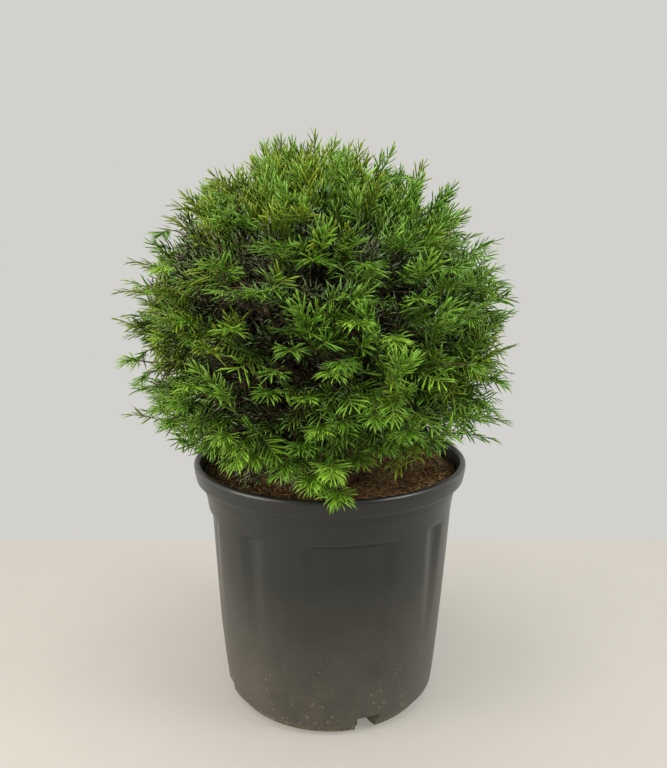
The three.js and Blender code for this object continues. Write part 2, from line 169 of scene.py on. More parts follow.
FIRST_TWIG = 0.35
LAST_TWIG = 0.95
OUTLINE_DEPTH = 0.1
LENGTH_SPREAD = 0.3
ROLL_SPREAD = 2.2
TWIG_BEND = 0.35
SPRAY_LENGTH = 98
SPRAY_ROOT = 0.06
SPRAY_CURVE = 0.07
LIMB_CLEAR = 3
LIMB_TESTS = 36

# ---- Finer twigs, carried on from the rule's own ----
# Layers of fronds: tries in each mass, depths of the tips as shares of the crown's reach,
# length of a frond, how far its direction strays
LAYERS = [
    dict(tries=90, shallow=0.14, deep=0.38, length=74, stray=0.24),
    dict(tries=110, shallow=0.28, deep=0.66, length=52, stray=0.5),
    dict(tries=210, shallow=0.09, deep=0.27, length=46, stray=0.42),
]
FINE_CONE = 46
FINE_ROLL = 0.6
FINE_LENGTH = (0.75, 0.5)
FINE_LIFT = (0.4, 1.2)
FINE_LEAVE = (0.25, 0.6)
# From this height of a direction up the shoots stand more and more erect and stray less and less
ERECT_FROM = 0.3
TOP_RISE = 1.1
TOP_CALM = 0.7
LEAST_OUTWARD = 0.4
TIP_SETBACK = 12
SHOOT_ANGLE = 44
FAN_LEVEL = np.array([1.0, 1.0, 0.3])
OUTSIDE = -8
FLOOR_MARGIN = 5

# Places in the crown where older wood shows: turn, elevation, half width in degrees
BARE_PLACES = [(-16, -8, 18), (-44, -16, 15), (4, 22, 13), (20, 4, 11), (-5, -34, 14), (-34, 16, 11),
               (75, -20, 12), (128, 4, 14), (176, -16, 18), (232, 10, 13), (286, -24, 15)]
# Places where the outline falls back: turn, elevation, half width in degrees, by how much
OUTLINE_DENTS = [(-96, 22, 27, 30), (92, 12, 52, 8), (84, -28, 28, 6), (78, 46, 26, 8), (60, 68, 20, 12),
                 (-98, -18, 16, 8)]
# Small bays between the clumps of the outline: how deep, how many to the crown's reach, which ones
BAY_DEPTH = 42
BAYS = 5.5
BAY_SHIFT = Vector((3, 1, 7))
# Places with no low foliage: turns from and to, distances out from and to, lowest foliage
OPENINGS = [(14, 84, 0, 190, 331), (54, 130, 165, 400, 346), (-130, -48, 172, 400, 346),
            (-80, -14, 60, 190, 322)]
# Where older wood shows, fronds no deeper than this stand in clumps: how many to the crown's reach,
# how much a bare place and the clumps' noise count, and from what sum on a frond is left out
GAP_DEPTH = 0.3
CLUMPS = 9
BARE_COUNTS = 0.5
CLUMP_COUNTS = 1.6
LEFT_OUT = 0.46

# ---- Needles ----
NEEDLE_STEP = 4.3
NEEDLE_LENGTH = 21.5
NEEDLE_WIDTH = 2.3
NEEDLE_KEEL = 0.42
LEAST_IN_RUN = 4
# How the needles of a row rise off the shoot's plane and stray from it, how their angle strays in degrees
# and closes towards the tip, and how their faces stray
ROW_RISE = 0.24
ROW_STRAY = 0.3
ANGLE_STRAY = 6
CLOSING = 0.3
FACE_STRAY = 0.18
# Half widths of a needle's rings as shares of its width
BASE_HALF_WIDTH = 0.4
HALF_WIDTH = 0.48
# A needle's rings of three corners as shares of its length. The short one starts from a point.
LONG_RINGS = (0.0, 0.74)
SHORT_RINGS = (0.5,)


# ---- Numbers and curves ----

def unit(vectors):
    return vectors / np.linalg.norm(vectors, axis=-1, keepdims=True)


def smoothstep(low, high, value):
    share = np.clip((value - low) / (high - low), 0, 1)
    return share * share * (3 - 2 * share)


def heading(turn, elevation):
    """A direction from its turn about the upright axis and its elevation above level."""
    around = math.radians(turn)
    above = math.radians(elevation)
    level = math.cos(above)
    return np.array([level * math.sin(around), -level * math.cos(around), math.sin(above)])


def seeded(seed):
    """The source's repeatable run of numbers from 0 to 1."""
    state = seed

    def draw():
        nonlocal state
        state = (1664525 * state + 1013904223) & 0xFFFFFFFF
        return state / 4294967296

    return draw


def drawn(rng, pair, count=None, power=1):
    """A size or an array of sizes from the least up. The higher the power, the rarer the large ones."""
    least, more = pair
    return least + more * rng.random(count) ** power


def curve_through(start, bend, end):
    """The four control points of a curve from start to end that a bend point pulls."""
    return np.stack([start, start + (bend - start) * 2 / 3, end + (bend - end) * 2 / 3, end], axis=-2)


def point_at(curve, share):
    t = np.asarray(share, dtype=float)[..., None]
    u = 1 - t
    a, b, c, d = (curve[..., i, :] for i in range(4))
    return u**3 * a + 3 * u * u * t * b + 3 * u * t * t * c + t**3 * d


def tangent_at(curve, share):
    t = np.asarray(share, dtype=float)[..., None]
    u = 1 - t
    a, b, c, d = (curve[..., i, :] for i in range(4))
    return unit(u * u * (b - a) + 2 * u * t * (c - b) + t * t * (d - c) + 1e-9)



# ---- Meshes and materials ----

def object_from(name, mesh, material):
    mesh.materials.append(material)
    obj = bpy.data.objects.new(name, mesh)
    bpy.context.scene.collection.objects.link(obj)
    return obj


def add_piece(name, mesh, material, nodes):
    """A piece of the plant or the pot: it rides on the one body and stands for its nodes."""
    piece = object_from(name, mesh, material)
    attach(piece, "root")
    if nodes:
        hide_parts(*nodes)


def joined_mesh(name, points, triangles, shades=None):
    """One mesh from arrays of points in millimetres and of triangles, with a shade at each point."""
    mesh = bpy.data.meshes.new(name)
    mesh.vertices.add(len(points))
    mesh.vertices.foreach_set("co", (points * MM).astype(np.float32).ravel())
    mesh.loops.add(triangles.size)
    mesh.loops.foreach_set("vertex_index", triangles.astype(np.int32).ravel())
    mesh.polygons.add(len(triangles))
    mesh.polygons.foreach_set("loop_start", np.arange(0, triangles.size, 3, dtype=np.int32))
    if shades is not None:
        layer = mesh.attributes.new("shade", "FLOAT", "POINT")
        layer.data.foreach_set("value", shades.astype(np.float32))
    mesh.update(calc_edges=True)
    return mesh


def mesh_of(bm, name):
    """The mesh of a bmesh, closed and smooth but for its sharp edges."""
    bmesh.ops.remove_doubles(bm, verts=bm.verts, dist=1e-6)
    bmesh.ops.recalc_face_normals(bm, faces=bm.faces)
    for face in bm.faces:
        face.smooth = True
    for edge in bm.edges:
        edge.smooth = edge.calc_face_angle(0) < SHARP_ANGLE
    mesh = bpy.data.meshes.new(name)
    bm.to_mesh(mesh)
    bm.free()
    return mesh


def colour(hex_value):
    """A linear colour from an sRGB hex value."""
    channels = [int(hex_value[i:i + 2], 16) / 255 for i in (1, 3, 5)]
    linear = [c / 12.92 if c <= 0.04045 else ((c + 0.055) / 1.055) ** 2.4 for c in channels]
    return (*linear, 1.0)


# Mix nodes hold sockets of every kind: these are the places of the colour ones
MIX_A = 6
MIX_B = 7
MIX_OUT = 2


def feed(tree, entry, value):
    """Gives a socket a number or a hex colour, or links it from a socket or from a node."""
    if isinstance(value, bpy.types.Node):
        value = value.outputs[MIX_OUT if value.bl_idname == "ShaderNodeMix" else 0]
    if isinstance(value, bpy.types.NodeSocket):
        tree.links.new(value, entry)
    else:
        entry.default_value = colour(value) if isinstance(value, str) else value


def add_node(tree, kind, inputs=(), **settings):
    """Adds a node with its settings. Its inputs go by name or place, or in a list in their order."""
    made = tree.nodes.new("ShaderNode" + kind)
    for name, value in settings.items():
        setattr(made, name, value)
    for entry, value in inputs.items() if isinstance(inputs, dict) else enumerate(inputs):
        feed(tree, made.inputs[entry], value)
    return made


def new_material(name):
    """A material with its tree, its shader and the place on the object that its patterns go by."""
    material = bpy.data.materials.new(name)
    material.use_nodes = True
    tree = material.node_tree
    tree.nodes.clear()
    shader = add_node(tree, "BsdfPrincipled")
    add_node(tree, "OutputMaterial", [shader])
    return material, tree, shader, add_node(tree, "TexCoord").outputs["Object"]


def finish_surface(tree, shader, share, dark, light, roughness, relief=None):
    """Colours a surface from dark to light by a share. Its relief is a height, a strength and metres."""
    feed(tree, shader.inputs["Base Color"],
         add_node(tree, "Mix", {0: share, MIX_A: dark, MIX_B: light}, data_type="RGBA"))
    feed(tree, shader.inputs["Roughness"], roughness)
    if relief is not None:
        height, strength, distance = relief
        bump = add_node(tree, "Bump", {"Height": height, "Strength": strength, "Distance": distance})
        feed(tree, shader.inputs["Normal"], bump)


# In the materials a MapRange lists its value, the range it comes from and the range it goes to.
# Patterns have their scale in repeats to the metre, and heights are in metres.

def moulded_polypropylene():
    """Recycled black polypropylene, injection moulded: satin, a little cloudy, with dust from the foot up."""
    material, tree, shader, place = new_material("moulded_recycled_polypropylene")
    height = add_node(tree, "SeparateXYZ", [place]).outputs["Z"]
    # clouds of 60 mm in the recycled plastic
    cloud = add_node(tree, "TexNoise", {"Vector": place, "Scale": 17, "Detail": 4, "Roughness": 0.6})
    plastic = add_node(tree, "Mix", {0: cloud, MIX_A: "#181917", MIX_B: "#1f201e"}, data_type="RGBA")
    # dust lies in patches of 60 mm, more of it towards the foot, broken up by grains of 2 mm
    low = add_node(tree, "MapRange", [height, 0.2, 0.0, 0.03, 0.4])
    patch = add_node(tree, "TexNoise", {"Vector": place, "Scale": 16, "Detail": 7, "Roughness": 0.72})
    grain = add_node(tree, "TexNoise", {"Vector": place, "Scale": 520, "Detail": 2})
    spread = add_node(tree, "MapRange", [patch, 0.36, 0.66, 0.55, 1.0])
    dusty = add_node(tree, "Math", [spread, low], operation="MULTIPLY")
    speck = add_node(tree, "MapRange", [grain, 0.3, 0.72, 0.75, 1.25])
    dust = add_node(tree, "Math", [dusty, speck], operation="MULTIPLY", use_clamp=True)
    film = add_node(tree, "Mix", {0: dust, MIX_A: plastic, MIX_B: "#857c6c"}, data_type="RGBA")
    # splashes of dried mud, 2 mm drops about 11 mm apart, thick at the foot and rare above it
    drop = add_node(tree, "TexVoronoi", {"Vector": place, "Scale": 90, "Randomness": 1.0})
    drop_size = add_node(tree, "MapRange", [height, 0.15, 0.0, 0.0, 0.26])
    uneven = add_node(tree, "Math", [drop_size, spread], operation="MULTIPLY")
    splash = add_node(tree, "Math", [drop, uneven], operation="LESS_THAN")
    faint = add_node(tree, "Math", [splash, 0.36], operation="MULTIPLY")
    # a crust of mud along the foot
    crust = add_node(tree, "MapRange", [height, 0.016, 0.002, 0.0, 1.0])
    crust_patch = add_node(tree, "MapRange", [grain, 0.45, 0.6, 0.0, 0.8])
    muddy = add_node(tree, "Math", [crust, crust_patch], operation="MULTIPLY")
    mud = add_node(tree, "Math", [muddy, faint], operation="MAXIMUM")
    rough = add_node(tree, "MapRange", [dust, 0.0, 0.6, 0.3, 0.62])
    # a fine leathery mould finish, drawn at 1.2 mm
    skin = add_node(tree, "TexNoise", {"Vector": place, "Scale": 850, "Detail": 1})
    finish_surface(tree, shader, mud, film, "#8f8566", rough, (skin, 0.25, 0.0004))
    shader.inputs["IOR"].default_value = 1.49
    return material


def coir_compost():
    """Peat and coir compost, watered and settled: dark brown, crumbly, with lighter strands."""
    material, tree, shader, place = new_material("settled_coir_compost")
    # crumbs of 4 mm on patches of 30 mm
    crumb = add_node(tree, "TexNoise", {"Vector": place, "Scale": 260, "Detail": 5, "Roughness": 0.7})
    patch = add_node(tree, "TexNoise", {"Vector": place, "Scale": 34, "Detail": 3})
    dark = add_node(tree, "Mix", {0: patch, MIX_A: "#3f2c1b", MIX_B: "#6f5231"}, data_type="RGBA")
    share = add_node(tree, "MapRange", [crumb, 0.45, 0.72, 0.0, 1.0])
    finish_surface(tree, shader, share, dark, "#a07c50", 0.95, (crumb, 0.9, 0.0016))
    return material


def dry_fibre(name, dark, light):
    """Loose dry plant matter: matt, each strand or chip in its own shade."""
    material, tree, shader, _ = new_material(name)
    shade = add_node(tree, "Attribute", attribute_name="shade").outputs["Fac"]
    finish_surface(tree, shader, shade, dark, light, 0.9)
    return material


def flaking_bark(name, dark, light, plate_mm):
    """Yew bark: red-brown, in thin plates that flake off to a paler brown beneath."""
    material, tree, shader, place = new_material(name)
    # the plates are about three times as tall as they are wide
    scale = (1 / (plate_mm * MM), 1 / (plate_mm * MM), 1 / (3 * plate_mm * MM))
    drawn_out = add_node(tree, "Mapping", {"Vector": place, "Scale": scale})
    plate = add_node(tree, "TexVoronoi", {"Vector": drawn_out, "Scale": 1.0}).outputs["Color"]
    grain = add_node(tree, "TexNoise", {"Vector": drawn_out, "Scale": 3, "Detail": 5}).outputs["Color"]
    tone = add_node(tree, "Mix", {0: 0.5, MIX_A: plate, MIX_B: grain}, data_type="RGBA")
    value = add_node(tree, "RGBToBW", [tone])
    finish_surface(tree, shader, value, dark, light, 0.85, (value, 0.6, 0.0007))
    return material


def waxy_needle(name, dark, light, roughness):
    """A yew needle: leathery, with a thin wax that gives a soft gloss, each one in its own shade."""
    material, tree, shader, place = new_material("waxy_yew_needle_" + name)
    shade = add_node(tree, "Attribute", attribute_name="shade").outputs["Fac"]
    # a slow drift over 30 mm on top of each needle's own shade
    drift = add_node(tree, "TexNoise", {"Vector": place, "Scale": 33, "Detail": 2})
    total = add_node(tree, "Math", [shade, drift], operation="ADD")
    share = add_node(tree, "MapRange", [total, 0.35, 1.45, 0.0, 1.0])
    finish_surface(tree, shader, share, dark, light, roughness)
    shader.inputs["IOR"].default_value = 1.43
    return material


def young_shoot(name, dark, light):
    """The skin of a first-year yew shoot: green and smooth, ridged where the needles run down it."""
    material, tree, shader, place = new_material(name)
    # ridges of 6 mm
    ridge = add_node(tree, "TexNoise", {"Vector": place, "Scale": 180, "Detail": 2})
    finish_surface(tree, shader, ridge, dark, light, 0.6, (ridge, 0.4, 0.0003))
    return material


def matt_floor_paint():
    """Matt grey floor paint, mottled over 110 mm."""
    material, tree, shader, place = new_material("matt_painted_floor")
    mottle = add_node(tree, "TexNoise", {"Vector": place, "Scale": 9, "Detail": 4})
    finish_surface(tree, shader, mottle, "#8a8781", "#918e88", 0.7)
    # light that the whole room throws back on its pale floor, so that no dark shadow lies round the pot
    feed(tree, shader.inputs["Emission Color"], "#d0cac0")
    feed(tree, shader.inputs["Emission Strength"], 0.4)
    return material


# ---- Stage ----

def set_camera():
    camera = bpy.data.cameras.new("camera")
    camera.lens = CAMERA_LENS
    camera.sensor_width = CAMERA_SENSOR
    viewer = bpy.data.objects.new("camera", camera)
    viewer.location = CAMERA_PLACE
    viewer.rotation_euler = (math.radians(CAMERA_PITCH), 0, 0)
    bpy.context.scene.collection.objects.link(viewer)
    bpy.context.scene.camera = viewer
    bpy.context.scene.view_settings.view_transform = "Standard"


def make_floor():
    bm = bmesh.new()
    bmesh.ops.create_grid(bm, x_segments=1, y_segments=1, size=1)
    for vert in bm.verts:
        vert.co.x *= FLOOR_HALF_WIDTH
        vert.co.y = FLOOR_BACK if vert.co.y > 0 else FLOOR_FRONT
    mesh = bpy.data.meshes.new("floor")
    bm.to_mesh(mesh)
    bm.free()
    object_from("floor", mesh, matt_floor_paint())


def light_room():
    """Pale walls at the back and a darker room in front, windows at the sides, and three lamps."""
    world = bpy.data.worlds.new("pale_room")
    world.use_nodes = True
    sky = world.node_tree
    background = sky.nodes["Background"]
    feed(sky, background.inputs["Color"], "#d2d1cd")
    way = add_node(sky, "SeparateXYZ", [add_node(sky, "TexCoord").outputs["Generated"]])
    shade = add_node(sky, "MapRange", [way.outputs["Y"], -0.75, 0.1, 0.54, 1.0])
    aside = add_node(sky, "Math", [way.outputs["X"]], operation="ABSOLUTE")
    window = add_node(sky, "MapRange", [aside, 0.55, 0.85, 1.0, 1.8])
    light = add_node(sky, "Math", [shade, window], operation="MULTIPLY")
    feed(sky, background.inputs["Strength"], light)
    bpy.context.scene.world = world

    lamps = [
        # name, place, aim, size in metres, watts, colour
        ("ceiling", (-0.2, -0.45, 2.4), (0, 0, 0.4), 1.7, 48, "#fffaf2"),
        ("window", (1.6, -0.7, 1.7), (0, 0, 0.42), 0.8, 25, "#fbfcff"),
        ("fill", (-1.5, -0.8, 0.8), (0, 0, 0.35), 1.1, 22, "#fff9ef"),
    ]
    for name, place, aim, size, watts, tint in lamps:
        lamp = bpy.data.lights.new(name, "AREA")
        lamp.size = size
        lamp.energy = watts
        lamp.color = colour(tint)[:3]
        holder = bpy.data.objects.new(name, lamp)
        holder.location = place
        holder.rotation_euler = (Vector(aim) - Vector(place)).to_track_quat("-Z", "Y").to_euler()
        bpy.context.scene.collection.objects.link(holder)


# ---- Pot ----

def pot_radius(height):
    share = max(0, (height - POT_FOOT_HEIGHT) / (POT_SHOULDER_HEIGHT - POT_FOOT_HEIGHT))
    return POT_LEDGE_RADIUS + (POT_SHOULDER_RADIUS - POT_LEDGE_RADIUS) * share**POT_TAPER_POWER


def flute_depth(degrees, height):
    """How far the wall is pressed in, with soft edges that draw together towards the foot."""
    turn = (degrees - FLUTE_START) % FLUTE_TURN
    low = min(1, max(0, (height - FLUTE_BOTTOM) / (FLUTE_TOP - FLUTE_BOTTOM)))
    top = 1 - smoothstep(FLUTE_TOP - 1.5, FLUTE_TOP + 2, height)
    deepest = 0
    for first, last in (WIDE_FLUTE, NARROW_FLUTE):
        middle = (first + last) / 2
        half = (last - first) / 2 * (1 - FLUTE_NARROWING * (1 - low))
        inside = smoothstep(half, half - min(FLUTE_SOFT, half), abs(turn - middle))
        deepest = max(deepest, inside)
    return FLUTE_DEPTH * low * top * deepest


def rounded(centre, radius, first, last, steps):
    """Points along an arc of a profile, with angles in degrees from outwards towards up."""
    angles = [math.radians(first + (last - first) * i / steps) for i in range(steps + 1)]
    return [(centre[0] + radius * math.cos(a), centre[1] + radius * math.sin(a)) for a in angles]


def pot_profile():
    rows = int((POT_SHOULDER_HEIGHT - WALL_FOOT) / WALL_ROW)
    heights = [WALL_FOOT + (POT_SHOULDER_HEIGHT - WALL_FOOT) * i / rows for i in range(rows + 1)]
    # rows of their own at the sharp tops of the flutes and the notches
    heights += [FLUTE_TOP - 1.5, FLUTE_TOP - 0.3, FLUTE_TOP + 0.8, NOTCH_HEIGHT - 0.4, NOTCH_HEIGHT + 0.1]
    heights.sort()
    outside = [(pot_radius(h), h) for h in heights]
    inside = [(r - POT_WALL, h) for r, h in reversed(outside[::3])]
    # the rim is a tall band that rolls over tightly to its crest
    crest = rounded((RIM_RADIUS - RIM_ROLL, POT_HEIGHT - RIM_ROLL), RIM_ROLL, 0, 84, 8)
    return [
        (0, 0), (60, 0), (60.4, 0.5), (63, 0.5), (63.4, 0),
        (POT_FOOT_RADIUS - NOTCH_DEPTH - 3, 0), (POT_FOOT_RADIUS - 1, 0),
        (POT_FOOT_RADIUS, 0.7), (POT_FOOT_RADIUS + 1, 4), (POT_FOOT_RADIUS + 2.3, 8.5),
        (POT_FOOT_RADIUS + 3.3, POT_FOOT_HEIGHT - 0.6),
        (POT_FOOT_RADIUS + 4.2, POT_FOOT_HEIGHT), (POT_LEDGE_RADIUS - 0.6, POT_FOOT_HEIGHT + 0.3),
        (POT_LEDGE_RADIUS, POT_FOOT_HEIGHT + 1),
        *outside,
        (POT_SHOULDER_RADIUS + 0.9, POT_SHOULDER_HEIGHT + 6),
        (POT_SHOULDER_RADIUS + 1.8, POT_SHOULDER_HEIGHT + 13),
        (POT_NECK_RADIUS - 1.2, POT_NECK_HEIGHT - 4),
        (POT_NECK_RADIUS - 0.2, POT_NECK_HEIGHT), (POT_NECK_RADIUS, POT_NECK_HEIGHT + 1.2),
        (POT_NECK_RADIUS + 0.6, RIM_BOTTOM_HEIGHT - 1), (POT_NECK_RADIUS + 1.2, RIM_BOTTOM_HEIGHT),
        (RIM_RADIUS - 3.4, RIM_BOTTOM_HEIGHT + 0.3), (RIM_RADIUS - 2.6, RIM_BOTTOM_HEIGHT + 1),
        (RIM_RADIUS - 1.9, RIM_BOTTOM_HEIGHT + 4), (RIM_RADIUS - 0.6, RIM_BOTTOM_HEIGHT + 11),
        *crest,
        (RIM_CREST_RADIUS - 2, POT_HEIGHT - 0.8), (RIM_CREST_RADIUS - 3.2, POT_HEIGHT - 2),
        (RIM_CREST_RADIUS - 4, POT_HEIGHT - 5),
        (POT_NECK_RADIUS + 0.5 - POT_WALL, POT_NECK_HEIGHT + 6),
        (POT_SHOULDER_RADIUS - POT_WALL, POT_SHOULDER_HEIGHT),
        *inside,
        (POT_LEDGE_RADIUS - POT_WALL, POT_FOOT_HEIGHT + 3),
        (POT_FOOT_RADIUS - 2, POT_WALL + 1), (0, POT_WALL + 1),
    ]


def spun(profile, steps):
    """A profile of radius and height, spun right round the upright axis."""
    bm = bmesh.new()
    verts = [bm.verts.new((r * MM, 0, h * MM)) for r, h in profile]
    edges = [bm.edges.new(pair) for pair in zip(verts, verts[1:])]
    bmesh.ops.spin(bm, geom=verts + edges, cent=(0, 0, 0), axis=(0, 0, 1), angle=math.tau,
                   steps=steps, use_merge=True)
    return bm


def make_pot():
    bm = spun(pot_profile(), POT_STEPS)
    pitch = 360 / NOTCH_COUNT
    for vert in bm.verts:
        x, y, z = (c / MM for c in vert.co)
        radius = math.hypot(x, y)
        # the middle of the foot stays flat
        if radius < POT_FOOT_RADIUS - NOTCH_DEPTH:
            continue
        degrees = math.degrees(math.atan2(x, -y))
        pressed = flute_depth(degrees, z)
        from_notch = abs((degrees - NOTCH_TURN + pitch / 2) % pitch - pitch / 2)
        if z < NOTCH_HEIGHT and radius > POT_FOOT_RADIUS - POT_WALL:
            pressed += NOTCH_DEPTH * smoothstep(NOTCH_HALF + NOTCH_SOFT, NOTCH_HALF - NOTCH_SOFT, from_notch)
        vert.co.x *= (radius - pressed) / radius
        vert.co.y *= (radius - pressed) / radius
    add_piece("pot_shell", mesh_of(bm, "pot_shell"), moulded_polypropylene(), ["pot"])


# ---- Growing medium ----

def soil_height(x, y):
    lumps = noise.noise(Vector((x, y, 3)) * LUMPS_PER_MM) * LUMP_SHARE
    crumbs = noise.fractal(Vector((x, y, 9)) * CRUMBS_PER_MM, 0.7, 2.1, 3) * CRUMB_SHARE
    bank = SOIL_BANK * float(smoothstep(0.5, 1.0, math.hypot(x, y) / SOIL_RADIUS))
    return SOIL_TOP - 1.5 + bank + (lumps + crumbs) * SOIL_RELIEF / (LUMP_SHARE + CRUMB_SHARE)


def make_soil():
    rows = int(SOIL_RADIUS / SOIL_ROW)
    top = [(SOIL_RADIUS * (rows - i) / rows, SOIL_TOP) for i in range(rows + 1)]
    # the side keeps inside the pot, and its foot is drawn in behind the notches
    side = [(0, 6), (86, 6), (88, 26), (127, 34), (139, 190), (143.5, 243)]
    bm = spun(side + top, SOIL_STEPS)
    for vert in bm.verts:
        x, y, z = (c / MM for c in vert.co)
        if z > SOIL_TOP - 1:
            vert.co.z = soil_height(x, y) * MM
    add_piece("soil_surface", mesh_of(bm, "soil_surface"), coir_compost(), ["soil"])


def place_on_soil(rng, count):
    radius = (SOIL_RADIUS - LITTER_EDGE) * np.sqrt(rng.random(count))
    angle = rng.random(count) * math.tau
    x = radius * np.cos(angle)
    y = radius * np.sin(angle)
    z = np.array([soil_height(a, b) for a, b in zip(x, y)])
    return np.stack([x, y, z], axis=-1)


def make_fibres(rng):
    middle = place_on_soil(rng, FIBRES)
    turn = rng.random(FIBRES) * math.tau
    half = drawn(rng, FIBRE_HALF, FIBRES, 2)[:, None]
    run = np.stack([np.cos(turn), np.sin(turn), rng.normal(0, 0.12, FIBRES)], axis=-1)
    start = middle - run * half
    end = middle + run * half
    start[:, 2] = np.minimum(start[:, 2], middle[:, 2] + 1.0)
    bend = middle + rng.normal(0, FIBRE_SWAY, (FIBRES, 3))
    bend[:, 2] = middle[:, 2] + FIBRE_ARCH[0] + FIBRE_ARCH[1] * rng.random(FIBRES)
    inside = np.hypot(*start.T[:2]) < SOIL_RADIUS - 1
    inside &= np.hypot(*end.T[:2]) < SOIL_RADIUS - 1
    curves = curve_through(start, bend, end)[inside]
    thick = drawn(rng, FIBRE_RADIUS, FIBRES, 2)[inside]
    points, triangles = tubes(curves, thick, thick * 0.6, 4)
    shades = np.repeat(rng.random(len(curves)), len(points) // len(curves))
    mesh = joined_mesh("coir_fibres", points, triangles, shades)
    coir = dry_fibre("dry_coir_fibre", "#6a4a26", "#d0ab6c")
    add_piece("coir_fibres", mesh, coir, ["soil"])


def make_chips(rng):
    """Lumps of eight faces, each drawn from an octahedron."""
    middle = place_on_soil(rng, CHIPS)
    corner = np.array([[1, 0, 0], [0, 1, 0], [-1, 0, 0], [0, -1, 0], [0, 0, 1], [0, 0, -1]], dtype=float)
    size = np.stack([drawn(rng, CHIP_LENGTH, CHIPS, 3), drawn(rng, CHIP_WIDTH, CHIPS, 2),
                     drawn(rng, CHIP_THICKNESS, CHIPS)], axis=-1)
    turn = rng.random(CHIPS) * math.tau
    local = corner[None] * size[:, None] * drawn(rng, CHIP_CORNER, (CHIPS, 6, 1))
    cosine = np.cos(turn)[:, None]
    sine = np.sin(turn)[:, None]
    x = local[..., 0] * cosine - local[..., 1] * sine
    y = local[..., 0] * sine + local[..., 1] * cosine
    points = np.stack([x, y, local[..., 2] + 0.2], axis=-1) + middle[:, None]
    around = [(0, 1), (1, 2), (2, 3), (3, 0)]
    one = np.array([(a, b, 4) for a, b in around] + [(b, a, 5) for a, b in around])
    triangles = (one[None] + 6 * np.arange(CHIPS)[:, None, None]).reshape(-1, 3)
    mesh = joined_mesh("compost_chips", points.reshape(-1, 3), triangles, np.repeat(rng.random(CHIPS), 6))
    bark = dry_fibre("broken_bark_chip", "#2b1c10", "#a07a48")
    add_piece("compost_chips", mesh, bark, ["soil"])


# ---- Limbs ----

trunk_curve = curve_through(TRUNK_FOOT, (TRUNK_FOOT + TRUNK_TIP) / 2 + TRUNK_BOW, TRUNK_TIP)


def on_trunk(height):
    """A place on the trunk by its height, near enough for a trunk that hardly bends."""
    return point_at(trunk_curve, (height - TRUNK_FOOT[2]) / (TRUNK_TIP[2] - TRUNK_FOOT[2]))


def trunk_radius(along):
    flare = FLARE_RADIUS * np.exp(-along / FLARE_HEIGHT)
    return TRUNK_RADIUS + (TRUNK_TIP_RADIUS - TRUNK_RADIUS) * along**TRUNK_TAPER_POWER + flare


def crown_reach(direction):
    """The crown's radius in a direction from its centre."""
    level = np.hypot(direction[..., 0], direction[..., 1])
    upper = direction[..., 2] > 0
    tall = np.where(upper, CROWN_RISE, CROWN_DROP)
    power = np.where(upper, UPPER_ROUNDNESS, LOWER_ROUNDNESS)
    return ((level / CROWN_SPREAD) ** power + (np.abs(direction[..., 2]) / tall) ** power) ** (-1 / power)


def list_masses():
    """The foliage masses, each with its aim from the crown's centre, its stem and, but for one, its bough."""
    masses = []
    for ring in RINGS:
        for i in range(ring["count"]):
            turn = ring["turn"] + i * 360 / ring["count"]
            name = ring["name"] + (f"_{i + 1}" if ring["count"] > 1 else "")
            mass = dict(name=name, ring=ring, aim=heading(turn, ring["elevation"]),
                        seed=FIRST_SEED + len(masses) * SEED_STEP, bough=None)
            path = trunk_curve
            if "end_out" in ring:
                out = heading(turn, 0)
                start = on_trunk(ring["bough_height"] + (i % 2) * BOUGH_STAGGER)
                end = CROWN_CENTRE + out * ring["end_out"]
                end[2] = ring["end_height"]
                bend = (start + end) / 2 + out * BOUGH_BOW
                bend[2] += BOUGH_SAG if ring["elevation"] < 0 else -BOUGH_SAG
                path = mass["bough"] = curve_through(start, bend, end)
            forward = tangent_at(path, 1)
            foot = point_at(path, 1) + forward * GAP
            tip = CROWN_CENTRE + mass["aim"] * crown_reach(mass["aim"]) * STEM_REACH
            mass["stem"] = curve_through(foot, foot + forward * 0.4 * np.linalg.norm(tip - foot), tip)
            masses.append(mass)
    return masses


masses = list_masses()
grown_on_boughs = [mass for mass in masses if mass["bough"] is not None]
crown_nodes = ["crown_" + mass["name"] for mass in masses]


def limb_mesh(curve, thick, thin, shape, shift):
    """A closed limb: a cylinder bent along a curve, with the bark's relief pressed into it.

    It tapers from thick to thin, or as the function of its length does that thick may be.
    """
    sides, steps, relief = shape
    bm = bmesh.new()
    bmesh.ops.create_cone(bm, segments=sides, radius1=1, radius2=1, depth=1, cap_ends=True)
    upright = [e for e in bm.edges if abs(e.verts[0].co.z - e.verts[1].co.z) > 0.5]
    bmesh.ops.subdivide_edges(bm, edges=upright, cuts=steps - 1)
    for vert in bm.verts:
        along = vert.co.z + 0.5
        tangent = tangent_at(curve, along)
        side = unit(np.cross(SLANT, tangent))
        over = np.cross(tangent, side)
        angle = math.atan2(vert.co.y, vert.co.x)
        cosine = math.cos(angle)
        sine = math.sin(angle)
        radius = float(thick(along) if callable(thick) else thick + (thin - thick) * along)
        # long flutes, and plates of bark that are taller than wide
        flutes = noise.noise(Vector((cosine * 2.2, sine * 2.2, along * 9 + shift)))
        plates = noise.cell(Vector((cosine * 5, sine * 5, along * 26 + shift))) - 0.5
        radius += relief * (flutes + 0.5 * plates) * min(1, radius / 4)
        vert.co = Vector((point_at(curve, along) + (side * cosine + over * sine) * radius) * MM)
    mesh = bpy.data.meshes.new("limb")
    bm.to_mesh(mesh)
    bm.free()
    return mesh


def add_limbs(name, limbs, material, nodes, lowest=-math.inf):
    """One piece of several limbs, cut off flat at its lowest."""
    bm = bmesh.new()
    for limb in limbs:
        bm.from_mesh(limb)
        bpy.data.meshes.remove(limb)
    for vert in bm.verts:
        vert.co.z = max(vert.co.z, lowest * MM)
    add_piece(name, mesh_of(bm, name), material, nodes)


